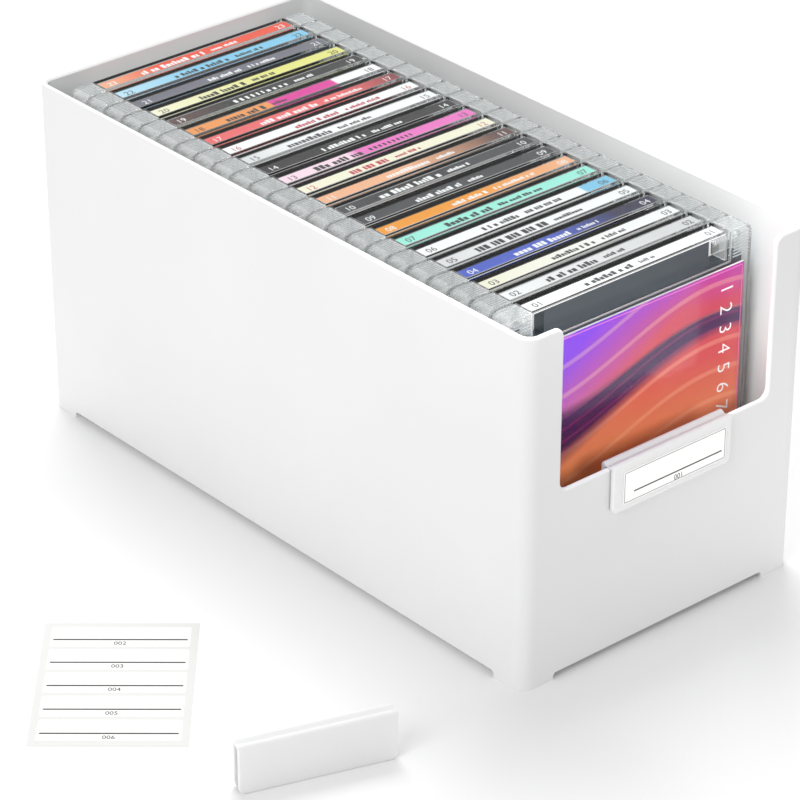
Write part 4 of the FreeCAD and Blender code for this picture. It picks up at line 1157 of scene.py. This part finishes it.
def label_shapes(number, rule_left, rule_right, rule_down, rule, shadow_ringed=False):
    """Paper, rule and figure of one label, flat about its middle, and the slot of each.

    The rule's two ends and its place below the top edge are shares of the label's size, and rule is its
    thickness in millimetres.
    """
    half_width, half_height, half_line = LABEL_WIDTH / 2, LABEL_HEIGHT / 2, SHADOW_LINE / 2
    outline = rectangle(-half_width, -half_height, half_width, half_height, LABEL_ROUND, 5)
    level = half_height - rule_down * LABEL_HEIGHT
    left, right = (share * LABEL_WIDTH - half_width for share in (rule_left, rule_right))
    points, faces = figures(f"{number:03d}", LABEL_FIGURE)
    marks = [
        dash(left, level - rule / 2, right, level + rule / 2),
        (points + ((left + right) / 2, level - rule - LABEL_FIGURE * FIGURE_DROP, 0), faces),
    ]
    # The grey ring is painted shadow: a line of ink where the label's edge would throw its shade.
    if shadow_ringed:
        across, up = half_width - SHADOW_LINE_INSET, half_height - SHADOW_LINE_INSET
        marks += [dash(-across, side - half_line, across, side + half_line) for side in (-up, up)]
        up -= half_line
        marks += [dash(side - half_line, -up, side + half_line, up) for side in (-across, across)]
    marks = [(points + (0, 0, LABEL_PAPER), faces) for points, faces in marks]
    return [plate(outline, 0, LABEL_PAPER, LABEL_EDGE, "xy", 1), *marks], [0, 1, 1] + [2] * (len(marks) - 2)


def add_label(name, label, place, right, up, body, replaced):
    """Carries a flat label, (shapes, slots), to its place as a piece that stands for a node of the CAD."""
    shapes, slots = label
    mesh = mesh_of(name, [printed_on(shape, place, right, up) for shape in shapes], slots)
    piece(name, mesh, label_finishes, body, [replaced])


# The grey ink is for the painted shadow line round the label on the clip.
label_finishes = [label_paper, ink_finish["black"], offset_ink("offset_ink_grey", "shadow_grey")]
low, high = box_mm("clip_label")
place = ((low[0] + high[0]) / 2, high[1], (low[2] + high[2]) / 2)
clip_label = label_shapes(1, *CLIP_RULE, shadow_ringed=True)
add_label("label_on_clip", clip_label, place, (1, 0, 0), (0, 0, 1), "label_clip", "clip_label")

low, high = box_mm("label_backing_sheet")
sheet_right, sheet_up = turned_axes(SHEET_TURN)
for number in range(LABEL_COUNT):
    along = (number - (LABEL_COUNT - 1) / 2) * LABEL_STEP
    place = (*((low + high) / 2 + along * sheet_up)[:2], high[2])
    label = label_shapes(LABEL_COUNT + 1 - number, *SPARE_RULE)
    add_label(f"spare_label_{number + 1}", label, place, sheet_right, sheet_up, "label_sheet", "index_labels")
dress("label_backing_sheet", uncoated_paper("siliconed_backing_paper", "#EAEAE8", "#E6E6E4"))
print("labels:", LABEL_COUNT + 1)

# %% [markdown]
# ## Small lamps for the inside
# Dark goods in a deep white box swallow the light, so a photographer adds small lamps for the inside and
# keeps them off everything else. One hangs over the front of the row and lifts the inner walls, a tiny one
# hangs behind the sill, and one low down lifts the right corner of the front. The others stand in front of
# the notch: a bright one for the first case, one for the paper label, and a weaker one for the clip, so that
# the paper stays whiter than the plastic.

# %% Light the inside
def pieces_named(start):
    """The pieces whose names start in this way."""
    return [thing for thing in bpy.data.objects if thing.name.startswith(start)]


BEFORE_THE_NOTCH, NOTCH, NOTCH_LAMP = (-0.1, -1.0, 0.55), (0.08, -0.127, 0.1), 0.3
inside = [
    ("softbox_inner_walls", (0.05, -0.13, 0.25), 0.12, 0.15, (0.15, -0.11, 0.1)),
    ("softbox_behind_sill", (0.11, -0.136, 0.1), 0.015, 0.0045, (0.15, -0.13, 0.095)),
    ("softbox_front_corner", (0.17, -0.25, 0.02), 0.1, 0.021, (0.12, -0.147, 0.03)),
]
in_front = [
    ("softbox_cover", 6.5, "front_case_"),
    ("softbox_clip", 1.6, "clip_on_sill"),
    ("softbox_label", 3.6, "label_on_clip"),
]
small_lamps = [softbox(*lamp, [frame["nodes"]["drawer"]]) for lamp in inside]
for name, watts, start in in_front:
    small_lamps.append(softbox(name, BEFORE_THE_NOTCH, NOTCH_LAMP, watts, NOTCH, pieces_named(start)))
print("small lamps:", *(lamp.name for lamp in small_lamps))
